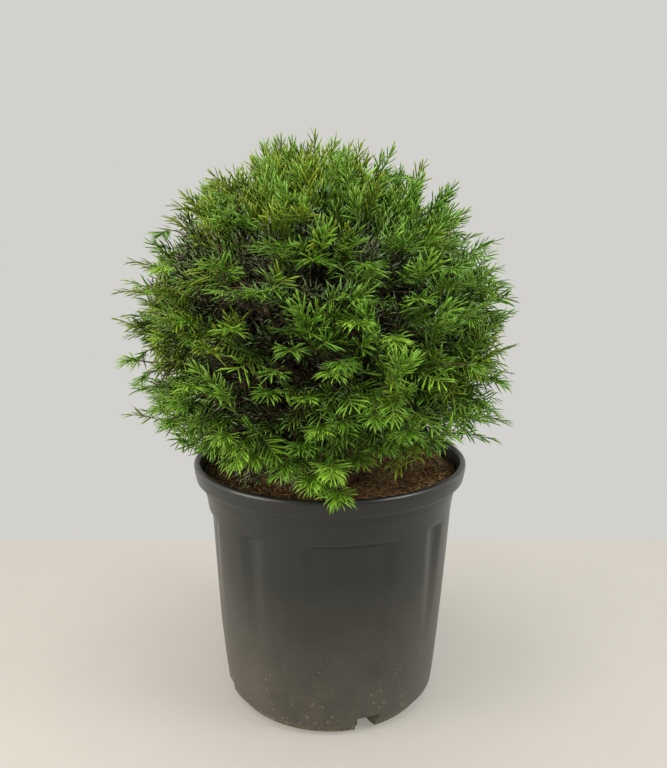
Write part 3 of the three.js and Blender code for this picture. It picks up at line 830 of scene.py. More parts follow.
def make_limbs():
    bark = flaking_bark("flaking_yew_bark", "#3a2419", "#8a6247", 5)
    thin_bark = flaking_bark("young_yew_bark", "#4a3120", "#8f6d4c", 2.5)
    trunk = limb_mesh(trunk_curve, trunk_radius, None, TRUNK_MESH, 0)
    add_limbs("trunk_bark", [trunk], bark, ["trunk"], TRUNK_FOOT[2] - 2)
    boughs = []
    stems = []
    # each limb has its own stretch of the bark's noise
    for i, mass in enumerate(masses):
        if mass["bough"] is not None:
            thick = mass["ring"]["bough_radius"]
            boughs.append(limb_mesh(mass["bough"], thick, BOUGH_TIP_RADIUS, BOUGH_MESH, 10 + i * 3.7))
        thick = TRUNK_TIP_RADIUS if mass["bough"] is None else BOUGH_TIP_RADIUS
        stems.append(limb_mesh(mass["stem"], thick, STEM_TIP_RADIUS, STEM_MESH, 80 + i * 2.3))
    bough_nodes = ["bough_" + mass["name"] for mass in grown_on_boughs]
    add_limbs("bough_bark", boughs, thin_bark, bough_nodes)
    add_limbs("stem_bark", stems, thin_bark, crown_nodes)


# ---- Where foliage may grow ----

def lowest_foliage(points):
    """The lowest that foliage hangs over the growing medium, the rim and outside it."""
    out = np.hypot(points[..., 0], points[..., 1])
    turn = np.degrees(np.arctan2(points[..., 0], -points[..., 1]))
    floor = np.where(out < RIM_INSIDE, INNER_FLOOR, np.where(out < RIM_OUTSIDE, RIM_FLOOR, OUTER_FLOOR))
    for first, last, near, far, lowest in OPENINGS:
        here = (turn > first) & (turn < last) & (out > near) & (out < far)
        floor = np.where(here, lowest, floor)
    return floor


def limb_tests():
    """Points along the trunk and the boughs, and the radius to keep clear of at each."""
    centres = []
    radii = []
    for step in range(LIMB_TESTS + 1):
        share = step / LIMB_TESTS
        centres.append(point_at(trunk_curve, share))
        radii.append(trunk_radius(share))
        for mass in grown_on_boughs:
            centres.append(point_at(mass["bough"], share))
            radii.append(mass["ring"]["bough_radius"])
    return list(zip(centres, radii))


limb_places = limb_tests()


def in_reach(points):
    """Whether points lie inside the crown's outline, above the pot and clear of the limbs."""
    from_centre = points - CROWN_CENTRE
    distance = np.linalg.norm(from_centre, axis=-1)
    inside = distance < crown_reach(unit(from_centre + 1e-9)) + OUTSIDE
    above = points[..., 2] > lowest_foliage(points) + FLOOR_MARGIN
    nearest = np.full(points.shape[:-1], math.inf)
    for centre, radius in limb_places:
        nearest = np.minimum(nearest, np.linalg.norm(points - centre, axis=-1) - radius)
    return inside & above & (nearest > LIMB_CLEAR)


def closeness(to_tip, turn, elevation, near, far):
    """From 1 within some degrees of a place on the crown down to 0 further from it."""
    away = math.degrees(math.acos(min(1, float(to_tip @ heading(turn, elevation)))))
    return 1 - float(smoothstep(near, far, away))


def bareness(to_tip):
    """From 0 in full foliage to 1 in the middle of a place where older wood shows."""
    return max(closeness(to_tip, turn, elevation, half * 0.55, half * 1.15)
               for turn, elevation, half in BARE_PLACES)


def outline_dent(to_tip):
    """How far the outline falls back in a direction."""
    return max(depth * closeness(to_tip, turn, elevation, half * 0.5, half)
               for turn, elevation, half, depth in OUTLINE_DENTS)


def outline_fall(to_tip):
    """The dent in a direction and the bay between two clumps there."""
    return outline_dent(to_tip) + BAY_DEPTH * max(0, noise.noise(Vector(to_tip * BAYS) + BAY_SHIFT))


# ---- Twigs ----

# How a shoot stands: from which steepness it is erect, the angle and droop of its needles, and how
# broad they are, less where it points to the front or the back. Steps are shares of NEEDLE_STEP.
FROND = dict(erect_from=0.55, erect_angle=47, angle=66, broad=1.15, narrowing=0.22)
# Fronds at the outline are open combs of bold, pale needles that droop; the paleness is painted light, for
# the bright wall's light that shows through them
OUTER_FROND = dict(FROND, droop=0.28, shade=(0.25, 0.65), step=1.2, twig=1.5, fork=0.4)
INNER_FROND = dict(FROND, droop=0.1, shade=(0, 0.9), step=1, twig=1.15, fork=0.6)
# Single shoots also have the depth of their tip, their length, and the place, bend, reach, sweep and
# needles of their side shoots
LEADER = dict(erect_from=0.6, erect_angle=46, angle=64, droop=0.26, broad=1.18, narrowing=0.22,
              depth=(0, 0.05), length=(60, 36), setback=1, sag=0, size=1.0, step=1.15,
              fork=(0.12, 0.2), bend=0.2, reach=0.42, sweep=0.06, side_size=0.9, side_step=1.15)
FAN = dict(erect_from=math.inf, erect_angle=74, angle=74, droop=0.34, broad=0.9, narrowing=0,
           depth=(0.06, 0.2), length=(15, 9), setback=0.5, sag=0.12, size=0.98, step=0.4,
           fork=(0.1, 0.2), bend=0.25, reach=0.5, sweep=0, side_size=0.85, side_step=0.5)
# The turns of their side shoots in degrees, how far a fan's sink, how often a leader lacks one
FAN_TURN = (40, 62)
FAN_SINK = 0.3
LEADER_TURN = 38
LEADER_ERECT_TURN = 24
LEADER_STRAY = 6
BARE_SIDE = 0.4
# How much the top's leaders are lifted, how far single shoots stray, how often and how low fans are lime,
# from which height the right side has olive leaders, and steps deep in the crown and on grey fans
TOP_LIFT = 0.9
LONE_STRAY = 0.25
LIME_CHANCE = 0.7
LIME_BELOW = 0.4
OLIVE_FROM = 0.5
DEEP_STEP = 1.5
GREY_STEP = 0.7
# Shares of a main shoot and of a twig where a frond is tested for its reach
SHOOT_TESTS = np.array([0.0, 0.5, 1.0])
TWIG_TESTS = np.array([0.6, 0.8])
# A frond's needles and the place on it where last year's give way to this year's
SETBACKS = (1, 1.8)
NEEDLE_SIZES = (0.88, 0.24)
LIME_SIZE = 1.12
YEAR_STARTS = (0.35, 0.25)
LIME_LATER = 0.2
# Its side shoots: one more on a long frond, where they leave, how they turn, reach, sweep and sag
LONG_FROND = 70
FIRST_FORK = 0.04
FORK_STRAY = 0.6
ERECT_SPREAD = 0.55
SHOOT_STRAY = 8
OUT_OF_PLANE = (0.05, 0.28)
SIDE_REACH = 0.56
SIDE_TAPER = 0.36
SIDE_LENGTHS = (0.7, 0.5)
SIDE_SWEEP = 0.12
SIDE_SAG = 0.05
FRESH_SIDES = 0.75
# A side shoot that would reach too far is tried again at these shares of its length
SHRINKS = (1.0, 0.75, 0.55)
# Radii at the root and the tip
MAIN_RADII = (0.85, 0.35)
SIDE_RADII = (0.65, 0.3)
LONE_SIDE_RADII = (0.6, 0.3)
TWIG_TIP_RADIUS = 0.75

# A twig's curve, then the tip, direction and length of the shoot that it carries. A frond has a roll,
# the direction of its tip from the crown's centre and its depth, and a single shoot has a tone.
Twig = namedtuple("Twig", "curve tip direction length roll to_tip depth tone", defaults=(0, None, 0, None))


def twig_from(start, tip, direction, length, **more):
    """A twig that leaves its parent at a place and comes into line with the shoot that it carries."""
    base = tip - direction * length
    bend = base - direction * TWIG_BEND * np.linalg.norm(start - base)
    curve = np.stack([start, bend, base, base + direction * length * SPRAY_ROOT])
    return Twig(curve, tip, direction, length, **more)


def axes_round(aim):
    """Two directions square to an aim and to each other."""
    across = unit(np.cross(SLANT, aim))
    return across, np.cross(aim, across)


def off_axis(aim, spread, spin):
    """The direction that leans off an aim by one angle, turned about it by another."""
    across, over = axes_round(aim)
    level = aim * math.cos(spread)
    return level + across * math.sin(spread) * math.cos(spin) + over * math.sin(spread) * math.sin(spin)


def nearest_twig(rule, to_tip):
    return rule[int(np.argmax(np.array([twig.to_tip for twig in rule]) @ to_tip))]


def rule_twigs(mass):
    """The source's rule, draw for draw: twigs in a golden-angle spiral, each with one frond."""
    draw = seeded(mass["seed"])
    ring = mass["ring"]
    twigs = []
    tries = ring["sprays"] * TRIES
    for i in range(tries):
        spin = math.radians(i * GOLDEN_ANGLE + draw() * 30)
        spread = math.radians(ring["cone"]) * math.sqrt((i + 0.5) / tries)
        to_tip = off_axis(mass["aim"], spread, spin)
        depth = 0 if i == 0 else OUTLINE_DEPTH * draw()
        length = SPRAY_LENGTH * (1 + LENGTH_SPREAD * (draw() - 0.5))
        lift = ring["lift"] * (0.5 + draw())
        roll = ROLL_SPREAD * (draw() - 0.5)
        leave = FIRST_TWIG + (LAST_TWIG - FIRST_TWIG) * draw()
        tip = CROWN_CENTRE + to_tip * crown_reach(to_tip) * (1 - depth)
        start = point_at(mass["stem"], leave)
        direction = unit(to_tip + UP * lift)
        twigs.append(twig_from(start, tip, direction, length, roll=roll, to_tip=to_tip, depth=depth))
    return twigs


def finer_twigs(mass, rule, layer):
    """Finer twigs over the mass's whole share of the crown, each from the rule's nearest twig."""
    rng = np.random.default_rng(mass["seed"] + LAYERS.index(layer))
    count = layer["tries"]
    across, over = axes_round(mass["aim"])
    index = np.arange(count)
    spin = np.radians(index * GOLDEN_ANGLE) + rng.random(count)
    spread = np.radians(FINE_CONE) * np.sqrt((index + 0.5) / count)
    ways = (mass["aim"] * np.cos(spread)[:, None]
            + across * (np.sin(spread) * np.cos(spin))[:, None]
            + over * (np.sin(spread) * np.sin(spin))[:, None])
    others = np.array([unit(mass["aim"] - other["aim"]) for other in masses if other is not mass])
    own = (ways @ others.T >= 0).all(axis=1)
    twigs = []
    for to_tip in ways[own]:
        depth = layer["shallow"] + (layer["deep"] - layer["shallow"]) * rng.random()
        length = layer["length"] * drawn(rng, FINE_LENGTH)
        lift = mass["ring"]["rise"] * drawn(rng, FINE_LIFT)
        high = max(0.0, float(to_tip[2]) - ERECT_FROM)
        sway = rng.normal(0, layer["stray"], 3) * (1 - TOP_CALM * high)
        lift += TOP_RISE * high
        roll = rng.normal(0, FINE_ROLL)
        tip = CROWN_CENTRE + to_tip * (crown_reach(to_tip) * (1 - depth) - outline_fall(to_tip))
        direction = unit(to_tip + UP * lift + sway)
        if direction @ to_tip < LEAST_OUTWARD:
            continue
        start = point_at(nearest_twig(rule, to_tip).curve, drawn(rng, FINE_LEAVE))
        twigs.append(twig_from(start, tip, direction, length, roll=roll, to_tip=to_tip, depth=depth))
    return twigs


def lone_shoots(mass, rule, count, fan):
    """Single shoots at the outline: long leaders that rise, or short fresh fans that droop."""
    rng = np.random.default_rng(mass["seed"] + (3 if fan else 2))
    ring = mass["ring"]
    habit = FAN if fan else LEADER
    twigs = []
    for i in range(count):
        spin = math.radians(i * GOLDEN_ANGLE + 60 * rng.random())
        spread = math.radians(ring["cone"] * 1.05) * math.sqrt((i + 0.5) / count)
        to_tip = off_axis(mass["aim"], spread, spin)
        depth = drawn(rng, habit["depth"])
        lift = 0
        if not fan:
            lift = TOP_LIFT if ring["name"] == "top" else 0.1 + 1.5 * ring["rise"] * rng.random()
        length = drawn(rng, habit["length"])
        if fan:
            tone = "lime" if rng.random() < LIME_CHANCE and to_tip[2] < LIME_BELOW else "fresh"
        else:
            tone = ("olive", "fresh", "mid")[int(rng.integers(3))]
        # the low right side has no olive leaders
        if tone == "olive" and to_tip[0] > 0 and to_tip[2] < OLIVE_FROM:
            tone = "fresh"
        tip = CROWN_CENTRE + to_tip * (crown_reach(to_tip) * (1 - depth) - outline_dent(to_tip))
        direction = to_tip * FAN_LEVEL if fan else to_tip
        direction = unit(direction + UP * lift + rng.normal(0, LONE_STRAY, 3))
        start = point_at(nearest_twig(rule, to_tip).curve, 0.75)
        twig = twig_from(start, tip, direction, length, tone=tone)
        if in_reach(np.stack([tip - direction * length, tip - direction * TIP_SETBACK])).all():
            twigs.append(twig)
    return twigs


def placed_twigs(places, rule):
    """Single shoots with a given tip, each from the rule's twig whose tip is nearest to its base."""
    rule_tips = np.array([twig.tip for twig in rule])
    twigs = []
    for *tip, turn, elevation, length, tone in places:
        tip = np.array(tip, dtype=float)
        direction = heading(turn, elevation)
        base = tip - direction * length
        parent = rule[int(np.argmin(np.linalg.norm(rule_tips - base, axis=1)))]
        twigs.append(twig_from(point_at(parent.curve, 0.7), tip, direction, length, tone=tone))
    return twigs


# Long single shoots that stand out of the crown, and fresh fans low at the front with a few grey ones
# over the medium: tip in millimetres, turn and elevation of the way they point, length, tone
LONG_SHOOTS = [
    (-176, -10, 632, -82, 50, 70, "olive"), (-196, -24, 604, -84, 36, 70, "olive"),
    (206, -10, 576, 84, 30, 72, "mid"), (148, -20, 642, 70, 60, 64, "mid"),
    (112, -10, 668, 60, 70, 62, "olive"), (-208, -60, 352, -80, -10, 66, "olive"),
    (-64, 10, 688, -40, 82, 70, "olive"), (-44, 2, 694, -10, 84, 66, "fresh"),
    (-90, 6, 672, -60, 78, 72, "olive"), (-72, -38, 680, -50, 78, 66, "olive"),
    (-52, 22, 690, -20, 84, 66, "olive"), (-60, -12, 692, -30, 86, 60, "mid"),
    (-262, -20, 512, -90, 4, 84, "olive"), (-252, 10, 548, -86, 16, 80, "olive"),
    (-246, -40, 462, -86, -2, 80, "mid"), (-238, -60, 398, -80, -8, 76, "fresh"),
    (-18, -8, 702, -5, 86, 92, "olive"), (-56, -24, 692, -20, 80, 84, "olive"),
    (-78, -6, 686, -50, 74, 90, "fresh"), (36, -30, 688, 30, 74, 80, "olive"),
    (-86, -30, 668, -60, 66, 80, "mid"), (74, -24, 682, 55, 66, 86, "mid"),
    (-148, -30, 636, -75, 52, 84, "fresh"), (168, 0, 610, 80, 40, 84, "mid"),
    (-250, -30, 487, -88, 12, 88, "mid"), (-240, 20, 446, -92, 5, 84, "deep"),
    (-238, -20, 362, -85, -4, 80, "mid"), (208, -30, 545, 84, 22, 84, "mid"),
    (232, 0, 412, 88, 8, 90, "deep"), (212, -30, 331, 80, -6, 78, "fresh"),
    (-66, -178, 350, -40, -12, 52, "fresh"), (84, -168, 372, 48, -8, 52, "fresh"),
    (18, -194, 372, 10, -14, 50, "fresh"), (-14, -204, 418, -20, -6, 46, "lime"),
    (22, -206, 420, 24, -6, 46, "fresh"), (56, -192, 396, 30, -8, 48, "fresh"),
    (-204, -70, 392, -74, 0, 56, "fresh"), (-186, -104, 370, -62, -6, 56, "fresh"),
    (-222, -40, 372, -84, -4, 60, "fresh"),
]
FRESH_FANS = [
    (-22, -196, 330, -22, -22, 26, "lime"), (4, -204, 344, 4, -24, 26, "lime"),
    (-52, -190, 342, -26, -18, 26, "fresh"), (-86, -176, 350, -32, -16, 26, "lime"),
    (-104, -166, 362, -36, -14, 24, "lime"), (-206, -70, 384, -74, -12, 28, "lime"),
    (-188, -84, 372, -66, -16, 28, "lime"), (-132, -148, 356, -44, -16, 26, "fresh"),
    (-196, -96, 404, -66, -14, 24, "fresh"), (-176, -112, 398, -58, -10, 24, "lime"),
    (-168, -128, 428, -54, -6, 22, "fresh"), (-142, -150, 386, -46, -12, 24, "lime"),
    (-146, -154, 478, -48, 0, 22, "fresh"), (-162, -104, 364, -60, -16, 24, "fresh"),
    (26, -216, 524, 8, 4, 24, "fresh"), (30, -222, 502, 14, 0, 24, "lime"),
    (40, -196, 556, 16, 10, 22, "fresh"), (12, -190, 312, 12, -24, 24, "lime"),
    (-12, -178, 322, -24, -18, 22, "fresh"), (38, -168, 348, 30, -4, 24, "lime"),
    (62, -178, 366, 36, 0, 24, "fresh"), (-30, -200, 372, -20, -6, 24, "fresh"),
    (-8, -208, 392, -8, -4, 24, "lime"), (22, -210, 400, 26, -2, 24, "fresh"),
    (6, -218, 452, 2, -4, 24, "lime"), (18, -222, 462, 24, -2, 22, "fresh"),
    (-118, -180, 378, -46, -4, 24, "lime"), (-160, -134, 402, -60, 0, 24, "fresh"),
    (86, -154, 380, 44, -6, 24, "fresh"), (-64, -200, 428, -30, -2, 22, "fresh"),
    (-83, -45, 306, -50, -10, 34, "grey"), (-96, -72, 304, -48, -14, 34, "grey"),
    (-66, -92, 306, -30, -14, 34, "grey"), (-48, -112, 306, -18, -16, 32, "grey"),
    (-30, -128, 308, -10, -18, 30, "grey"), (-104, -98, 312, -52, -10, 32, "grey"),
]
# Old bare stems that show low at the front: the height on the trunk they leave from, bend, end, radii
OLD_STEMS = [
    (318, (-42, -92, 352), (-82, -158, 452), 3.0, 1.6),
    (306, (-30, -84, 318), (-42, -170, 392), 2.6, 1.4),
    (330, (22, -90, 372), (34, -168, 440), 2.6, 1.3),
    (312, (-84, -66, 340), (-150, -112, 430), 2.8, 1.4),
    (324, (62, -74, 350), (118, -118, 420), 2.8, 1.4),
    (340, (-12, -86, 410), (-14, -150, 512), 2.4, 1.2),
]


def old_stems():
    stems = []
    for height, bend, end, thick, thin in OLD_STEMS:
        curve = curve_through(on_trunk(height), np.array(bend, float), np.array(end, float))
        stems.append((curve, thick, thin))
    return stems


# ---- Fronds and single shoots ----

# Needles from the newest to the oldest: dark and light, roughness, rings of their mesh
NEEDLES = {
    "lime": ("#56900e", "#9ac640", 0.32, LONG_RINGS),
    "fresh": ("#3e760a", "#80ae36", 0.3, LONG_RINGS),
    "olive": ("#486206", "#8ea426", 0.34, LONG_RINGS),
    "mid": ("#3a640a", "#7aa634", 0.26, LONG_RINGS),
    "deep": ("#1e360a", "#587a38", 0.24, SHORT_RINGS),
    "old": ("#1e260e", "#60683c", 0.34, SHORT_RINGS),
    "grey": ("#4a4e34", "#989a72", 0.42, SHORT_RINGS),
    "bronze": ("#221d10", "#54482c", 0.6, SHORT_RINGS),
}
# How fresh a frond is: on average, by its height, in patches, by chance, to the right, with its depth
# and in bare places
# The depth's share is partly real, the older needles inside, and partly painted shade that darkens the
# crown's inside
FRESHNESS = dict(mean=0.68, height=0.02, patch=0.22, chance=0.1, right=0.16, depth=-1.35, bare=-0.1)
PATCHES = 2.8
# Low fronds that are newly flushed: up to this height, how often, how much fresher
FLUSH = dict(below=460, chance=0.16, fresher=0.5)
# The least freshness of a group of tones
LEAST = dict(lime=0.80, fresh=0.56, mid=0.38, deep=0.2)
# The chance of olive needles: with the height, to the left, in patches, at the sides of the outline
OLIVE = dict(height=1.25, start=-0.6, patch=0.6, side=0.5, mid=0.9)
OLIVE_PATCHES = 2.2
OLD_CHANCE = 0.9


def tone_of(twig, bare, rng):
    """The tone of a frond's needles, by its height, its side, its depth and how open its place is."""
    x, _, upward = twig.to_tip
    z = twig.tip[2]
    outer = twig.depth <= OUTLINE_DEPTH
    height = (z - INNER_FLOOR) / (CROWN_CENTRE[2] + CROWN_RISE - INNER_FLOOR)
    patch = noise.noise(Vector(twig.to_tip * PATCHES))
    freshness = FRESHNESS["mean"] + FRESHNESS["height"] * height + FRESHNESS["patch"] * patch
    freshness = freshness + rng.normal(0, FRESHNESS["chance"]) + FRESHNESS["right"] * max(0, x)
    # painted shade in part: deeper fronds get older, darker tones
    freshness += FRESHNESS["depth"] * twig.depth + FRESHNESS["bare"] * bare
    elevation = math.degrees(math.asin(upward))
    steps = [
        # the middle of the outline
        (outer and abs(x) < 0.6 and 440 < z < 600, -0.08),
        # painted shade: darker, older tones in the band under the shoulders, where the dome above shades it
        (10 < elevation < 34 and (not outer or abs(x) < 0.55), -0.23),
        # the lower left, behind the outline
        (-0.6 < x < 0.1 and z < 480 and not outer, -0.08),
        # the low sides
        (z < 440 and x < -0.5, 0.16),
        (z < 440 and x > 0.1, 0.1),
        # painted shade: darker, older tones low on the left over the rim, where the skirt lies in shade
        (z < 350 and x < 0.15, -0.2),
    ]
    for here, step in steps:
        freshness += step if here else 0
    if z < FLUSH["below"] and rng.random() < FLUSH["chance"]:
        freshness += FLUSH["fresher"]
    if freshness > LEAST["lime"]:
        return "lime" if rng.random() < 0.75 - height * 0.7 else "olive"
    olive = OLIVE["height"] * height + OLIVE["start"] - x
    olive += OLIVE["patch"] * noise.noise(Vector(twig.to_tip * OLIVE_PATCHES + SLANT))
    # painted light: more pale olive at the outline's sides, for the bright wall's light that shows through
    # the needles
    if outer and abs(x) > 0.6:
        olive += OLIVE["side"]
    if freshness > LEAST["fresh"]:
        return "olive" if rng.random() < olive else "fresh"
    if freshness > LEAST["mid"]:
        return "olive" if rng.random() < OLIVE["mid"] * olive else "mid"
    if freshness > LEAST["deep"]:
        return "deep"
    return "old" if rng.random() < OLD_CHANCE else "bronze"


def older(tone, steps=1):
    """The tone of needles some years older."""
    order = ["lime", "fresh", "mid", "deep", "old", "bronze"]
    start = order.index({"olive": "fresh", "grey": "old"}.get(tone, tone))
    return order[min(start + steps, len(order) - 1)]


# A run of needles along a curve, from one share of it to another. It is radial where the needles stand
# all round the curve, and otherwise they lie in two rows.
Run = namedtuple("Run", "curve first last tone length face angle radial step droop shade broad")


class Shoots:
    """Runs of needles, and the tubes that carry them: curve, radius at the root, radius at the tip."""

    def __init__(self):
        self.runs = []
        self.brown = []
        self.green = []

    def add_twig(self, curve, radius, tone, length, face, step, shade):
        """A brown twig with a few needles left round its end."""
        self.brown.append((curve, radius, TWIG_TIP_RADIUS))
        self.runs.append(Run(curve, 0.8, 1.0, tone, length * 0.8, face, 58, True, step, 0.06, shade, 1.0))


def stance(habit, direction, toward):
    """Whether a shoot stands erect, and the angle, droop and breadth of its needles."""
    erect = direction[2] > habit["erect_from"]
    broad = habit["broad"] - habit["narrowing"] * abs(toward[1])
    if erect:
        return erect, habit["erect_angle"], 0.0, broad
    return erect, habit["angle"], habit["droop"], broad


def frond_axes(direction, roll):
    """The directions across a frond and out of its face, rolled about its shoot."""
    side = np.cross(UP, direction)
    if np.linalg.norm(side) < 0.2:
        side = np.array([1.0, 0, 0]) - direction * direction[0]
    side = unit(side)
    face = np.cross(direction, side)
    cosine = math.cos(roll)
    sine = math.sin(roll)
    return side * cosine + face * sine, face * cosine - side * sine


def grow_frond(shoots, twig, rng):
    """A main shoot on from its twig, with side shoots by turns left and right in its plane."""
    curve, tip, direction, length, roll, to_tip, depth, _ = twig
    bare = bareness(to_tip)
    clump = noise.noise(Vector(to_tip * CLUMPS))
    if depth < GAP_DEPTH and BARE_COUNTS * bare + CLUMP_COUNTS * bare**0.5 * clump > LEFT_OUT:
        return
    tone = tone_of(twig, bare, rng)
    at_outline = depth <= OUTLINE_DEPTH
    habit = OUTER_FROND if at_outline else INNER_FROND
    shade = drawn(rng, habit["shade"])
    erect, angle, droop, broad = stance(habit, direction, to_tip)
    step = NEEDLE_STEP * (DEEP_STEP if depth > GAP_DEPTH else habit["step"])
    side, face = frond_axes(direction, roll)
    start = point_at(curve, 1)
    tip = tip - direction * TIP_SETBACK * drawn(rng, SETBACKS) * length / SPRAY_LENGTH
    if at_outline:
        tip = tip - to_tip * outline_fall(to_tip)
    main = curve_through(start, (start + tip) / 2 + face * length * SPRAY_CURVE / 2, tip)
    if not in_reach(point_at(main, SHOOT_TESTS)).all() or not in_reach(point_at(curve, TWIG_TESTS)).all():
        return
    size = NEEDLE_LENGTH * drawn(rng, NEEDLE_SIZES) * (LIME_SIZE if tone == "lime" else 1.0)
    back = older(tone, 2 if tone in ("lime", "fresh") else 1)
    stems = shoots.brown if back in ("old", "bronze") else shoots.green
    shoots.add_twig(curve, habit["twig"], older(back), size, face, NEEDLE_STEP * 2, shade)
    stems.append((main, *MAIN_RADII))
    # last year's needles to here, and this year's from here on
    year = drawn(rng, YEAR_STARTS) + (LIME_LATER if tone == "lime" else 0)
    look = dict(face=face, angle=angle, radial=erect, step=step, droop=droop, shade=shade, broad=broad)
    shoots.runs.append(Run(main, 0.0, year, back, size * 0.9, **dict(look, step=step * 1.1, broad=1.0)))
    shoots.runs.append(Run(main, year, 1.0, tone, size, **look))
    spread = SHOOT_ANGLE * (ERECT_SPREAD if erect else 1.0)
    side_shoots = int(rng.integers(0, 3)) + (length > LONG_FROND)
    for k in range(side_shoots):
        leave = FIRST_FORK + habit["fork"] * (k + FORK_STRAY * rng.random()) / side_shoots
        turn = math.radians(spread + rng.normal(0, SHOOT_STRAY))
        way = 1 if k % 2 else -1
        ahead = direction * math.cos(turn) + side * way * math.sin(turn) + face * rng.normal(*OUT_OF_PLANE)
        reach = length * (SIDE_REACH - SIDE_TAPER * leave) * drawn(rng, SIDE_LENGTHS)
        foot = point_at(main, leave)
        for shrink in SHRINKS:
            far = foot + unit(ahead) * reach * shrink + direction * reach * SIDE_SWEEP - UP * reach * SIDE_SAG
            if in_reach(far[None])[0]:
                branch = curve_through(foot, foot + unit(ahead) * reach * shrink * 0.5, far)
                stems.append((branch, *SIDE_RADII))
                own_tone = tone if rng.random() < FRESH_SIDES and tone != "lime" else back
                radial = erect and rng.random() < 0.5
                shoots.runs.append(Run(branch, 0.1, 1.0, own_tone, size * 0.92, **dict(look, radial=radial)))
                break


def grow_single(shoots, twig, rng, fan):
    """A single shoot with up to two short side shoots: a long leader, or a fresh fan that droops."""
    curve, tip, direction, length, _, _, _, tone = twig
    habit = FAN if fan else LEADER
    side = unit(np.cross(UP, direction) + np.array([1e-3, 0, 0]))
    face = np.cross(direction, side)
    start = point_at(curve, 1)
    tip = tip - direction * TIP_SETBACK * habit["setback"] - UP * (length * habit["sag"])
    main = curve_through(start, (start + tip) / 2 + face * length * SPRAY_CURVE, tip)
    size = NEEDLE_LENGTH * habit["size"]
    shade = rng.random()
    shoots.add_twig(curve, 1.2, older(tone, 2), size, face, NEEDLE_STEP, shade)
    shoots.green.append((main, *MAIN_RADII))
    erect, angle, droop, broad = stance(habit, direction, direction)
    look = dict(face=face, angle=angle, radial=erect, droop=droop, shade=shade, broad=broad)
    step = NEEDLE_STEP * (GREY_STEP if tone == "grey" else habit["step"])
    shoots.runs.append(Run(main, 0.0, 1.0, tone, size, step=step, **look))
    for way in (-1, 1):
        if fan:
            turn = math.radians(rng.uniform(*FAN_TURN))
            sink = UP * rng.uniform(0, FAN_SINK)
        elif rng.random() < BARE_SIDE:
            continue
        else:
            turn = math.radians((LEADER_ERECT_TURN if erect else LEADER_TURN) + rng.normal(0, LEADER_STRAY))
            sink = 0
        ahead = direction * math.cos(turn) + side * way * math.sin(turn) - sink
        foot = point_at(main, drawn(rng, habit["fork"]))
        far = foot + ahead * length * habit["reach"] + direction * length * habit["sweep"]
        branch = curve_through(foot, foot + ahead * length * habit["bend"], far)
        shoots.green.append((branch, *LONE_SIDE_RADII))
        step = NEEDLE_STEP * habit["side_step"]
        shoots.runs.append(Run(branch, 0.1, 1.0, tone, size * habit["side_size"], step=step, **look))


# ---- Joined meshes of tubes and needles ----

def tubes(curves, thick, thin, steps, sides=3):
    """Closed tapering tubes along curves, as one set of points and triangles."""
    count = len(curves)
    share = np.linspace(0, 1, steps + 1)
    place = point_at(curves[:, None], share[None])
    tangent = tangent_at(curves[:, None], share[None])
    side = unit(np.cross(SLANT, tangent))
    over = np.cross(tangent, side)
    angle = np.arange(sides) * math.tau / sides
    ring = (side[:, :, None] * np.cos(angle)[None, None, :, None]
            + over[:, :, None] * np.sin(angle)[None, None, :, None])
    radius = thick[:, None] + (thin - thick)[:, None] * share[None]
    points = place[:, :, None] + ring * radius[:, :, None, None]
    one = []
    for row in range(steps):
        for k in range(sides):
            a, b = row * sides + k, row * sides + (k + 1) % sides
            one += [(a, b, b + sides), (a, b + sides, a + sides)]
    last = steps * sides
    for k in range(1, sides - 1):
        one += [(0, k + 1, k), (last, last + k, last + k + 1)]
    size = (steps + 1) * sides
    triangles = np.array(one)[None] + size * np.arange(count)[:, None, None]
    return points.reshape(-1, 3), triangles.reshape(-1, 3)


def needle_faces(rings):
    """A needle's triangles: a cap or a point at its base, bands from ring to ring, and its tip."""
    capped = rings[0] == 0
    first = 0 if capped else 1
    faces = [(0, 2, 1)] if capped else [(0, 1 + k, 1 + (k + 1) % 3) for k in range(3)]
    for row in range(len(rings) - 1):
        for k in range(3):
            a = first + row * 3 + k
            b = first + row * 3 + (k + 1) % 3
            faces += [(a, b, b + 3), (a, b + 3, a + 3)]
    low = first + (len(rings) - 1) * 3
    faces += [(low + k, low + (k + 1) % 3, low + 3) for k in range(3)]
    return np.array(faces)


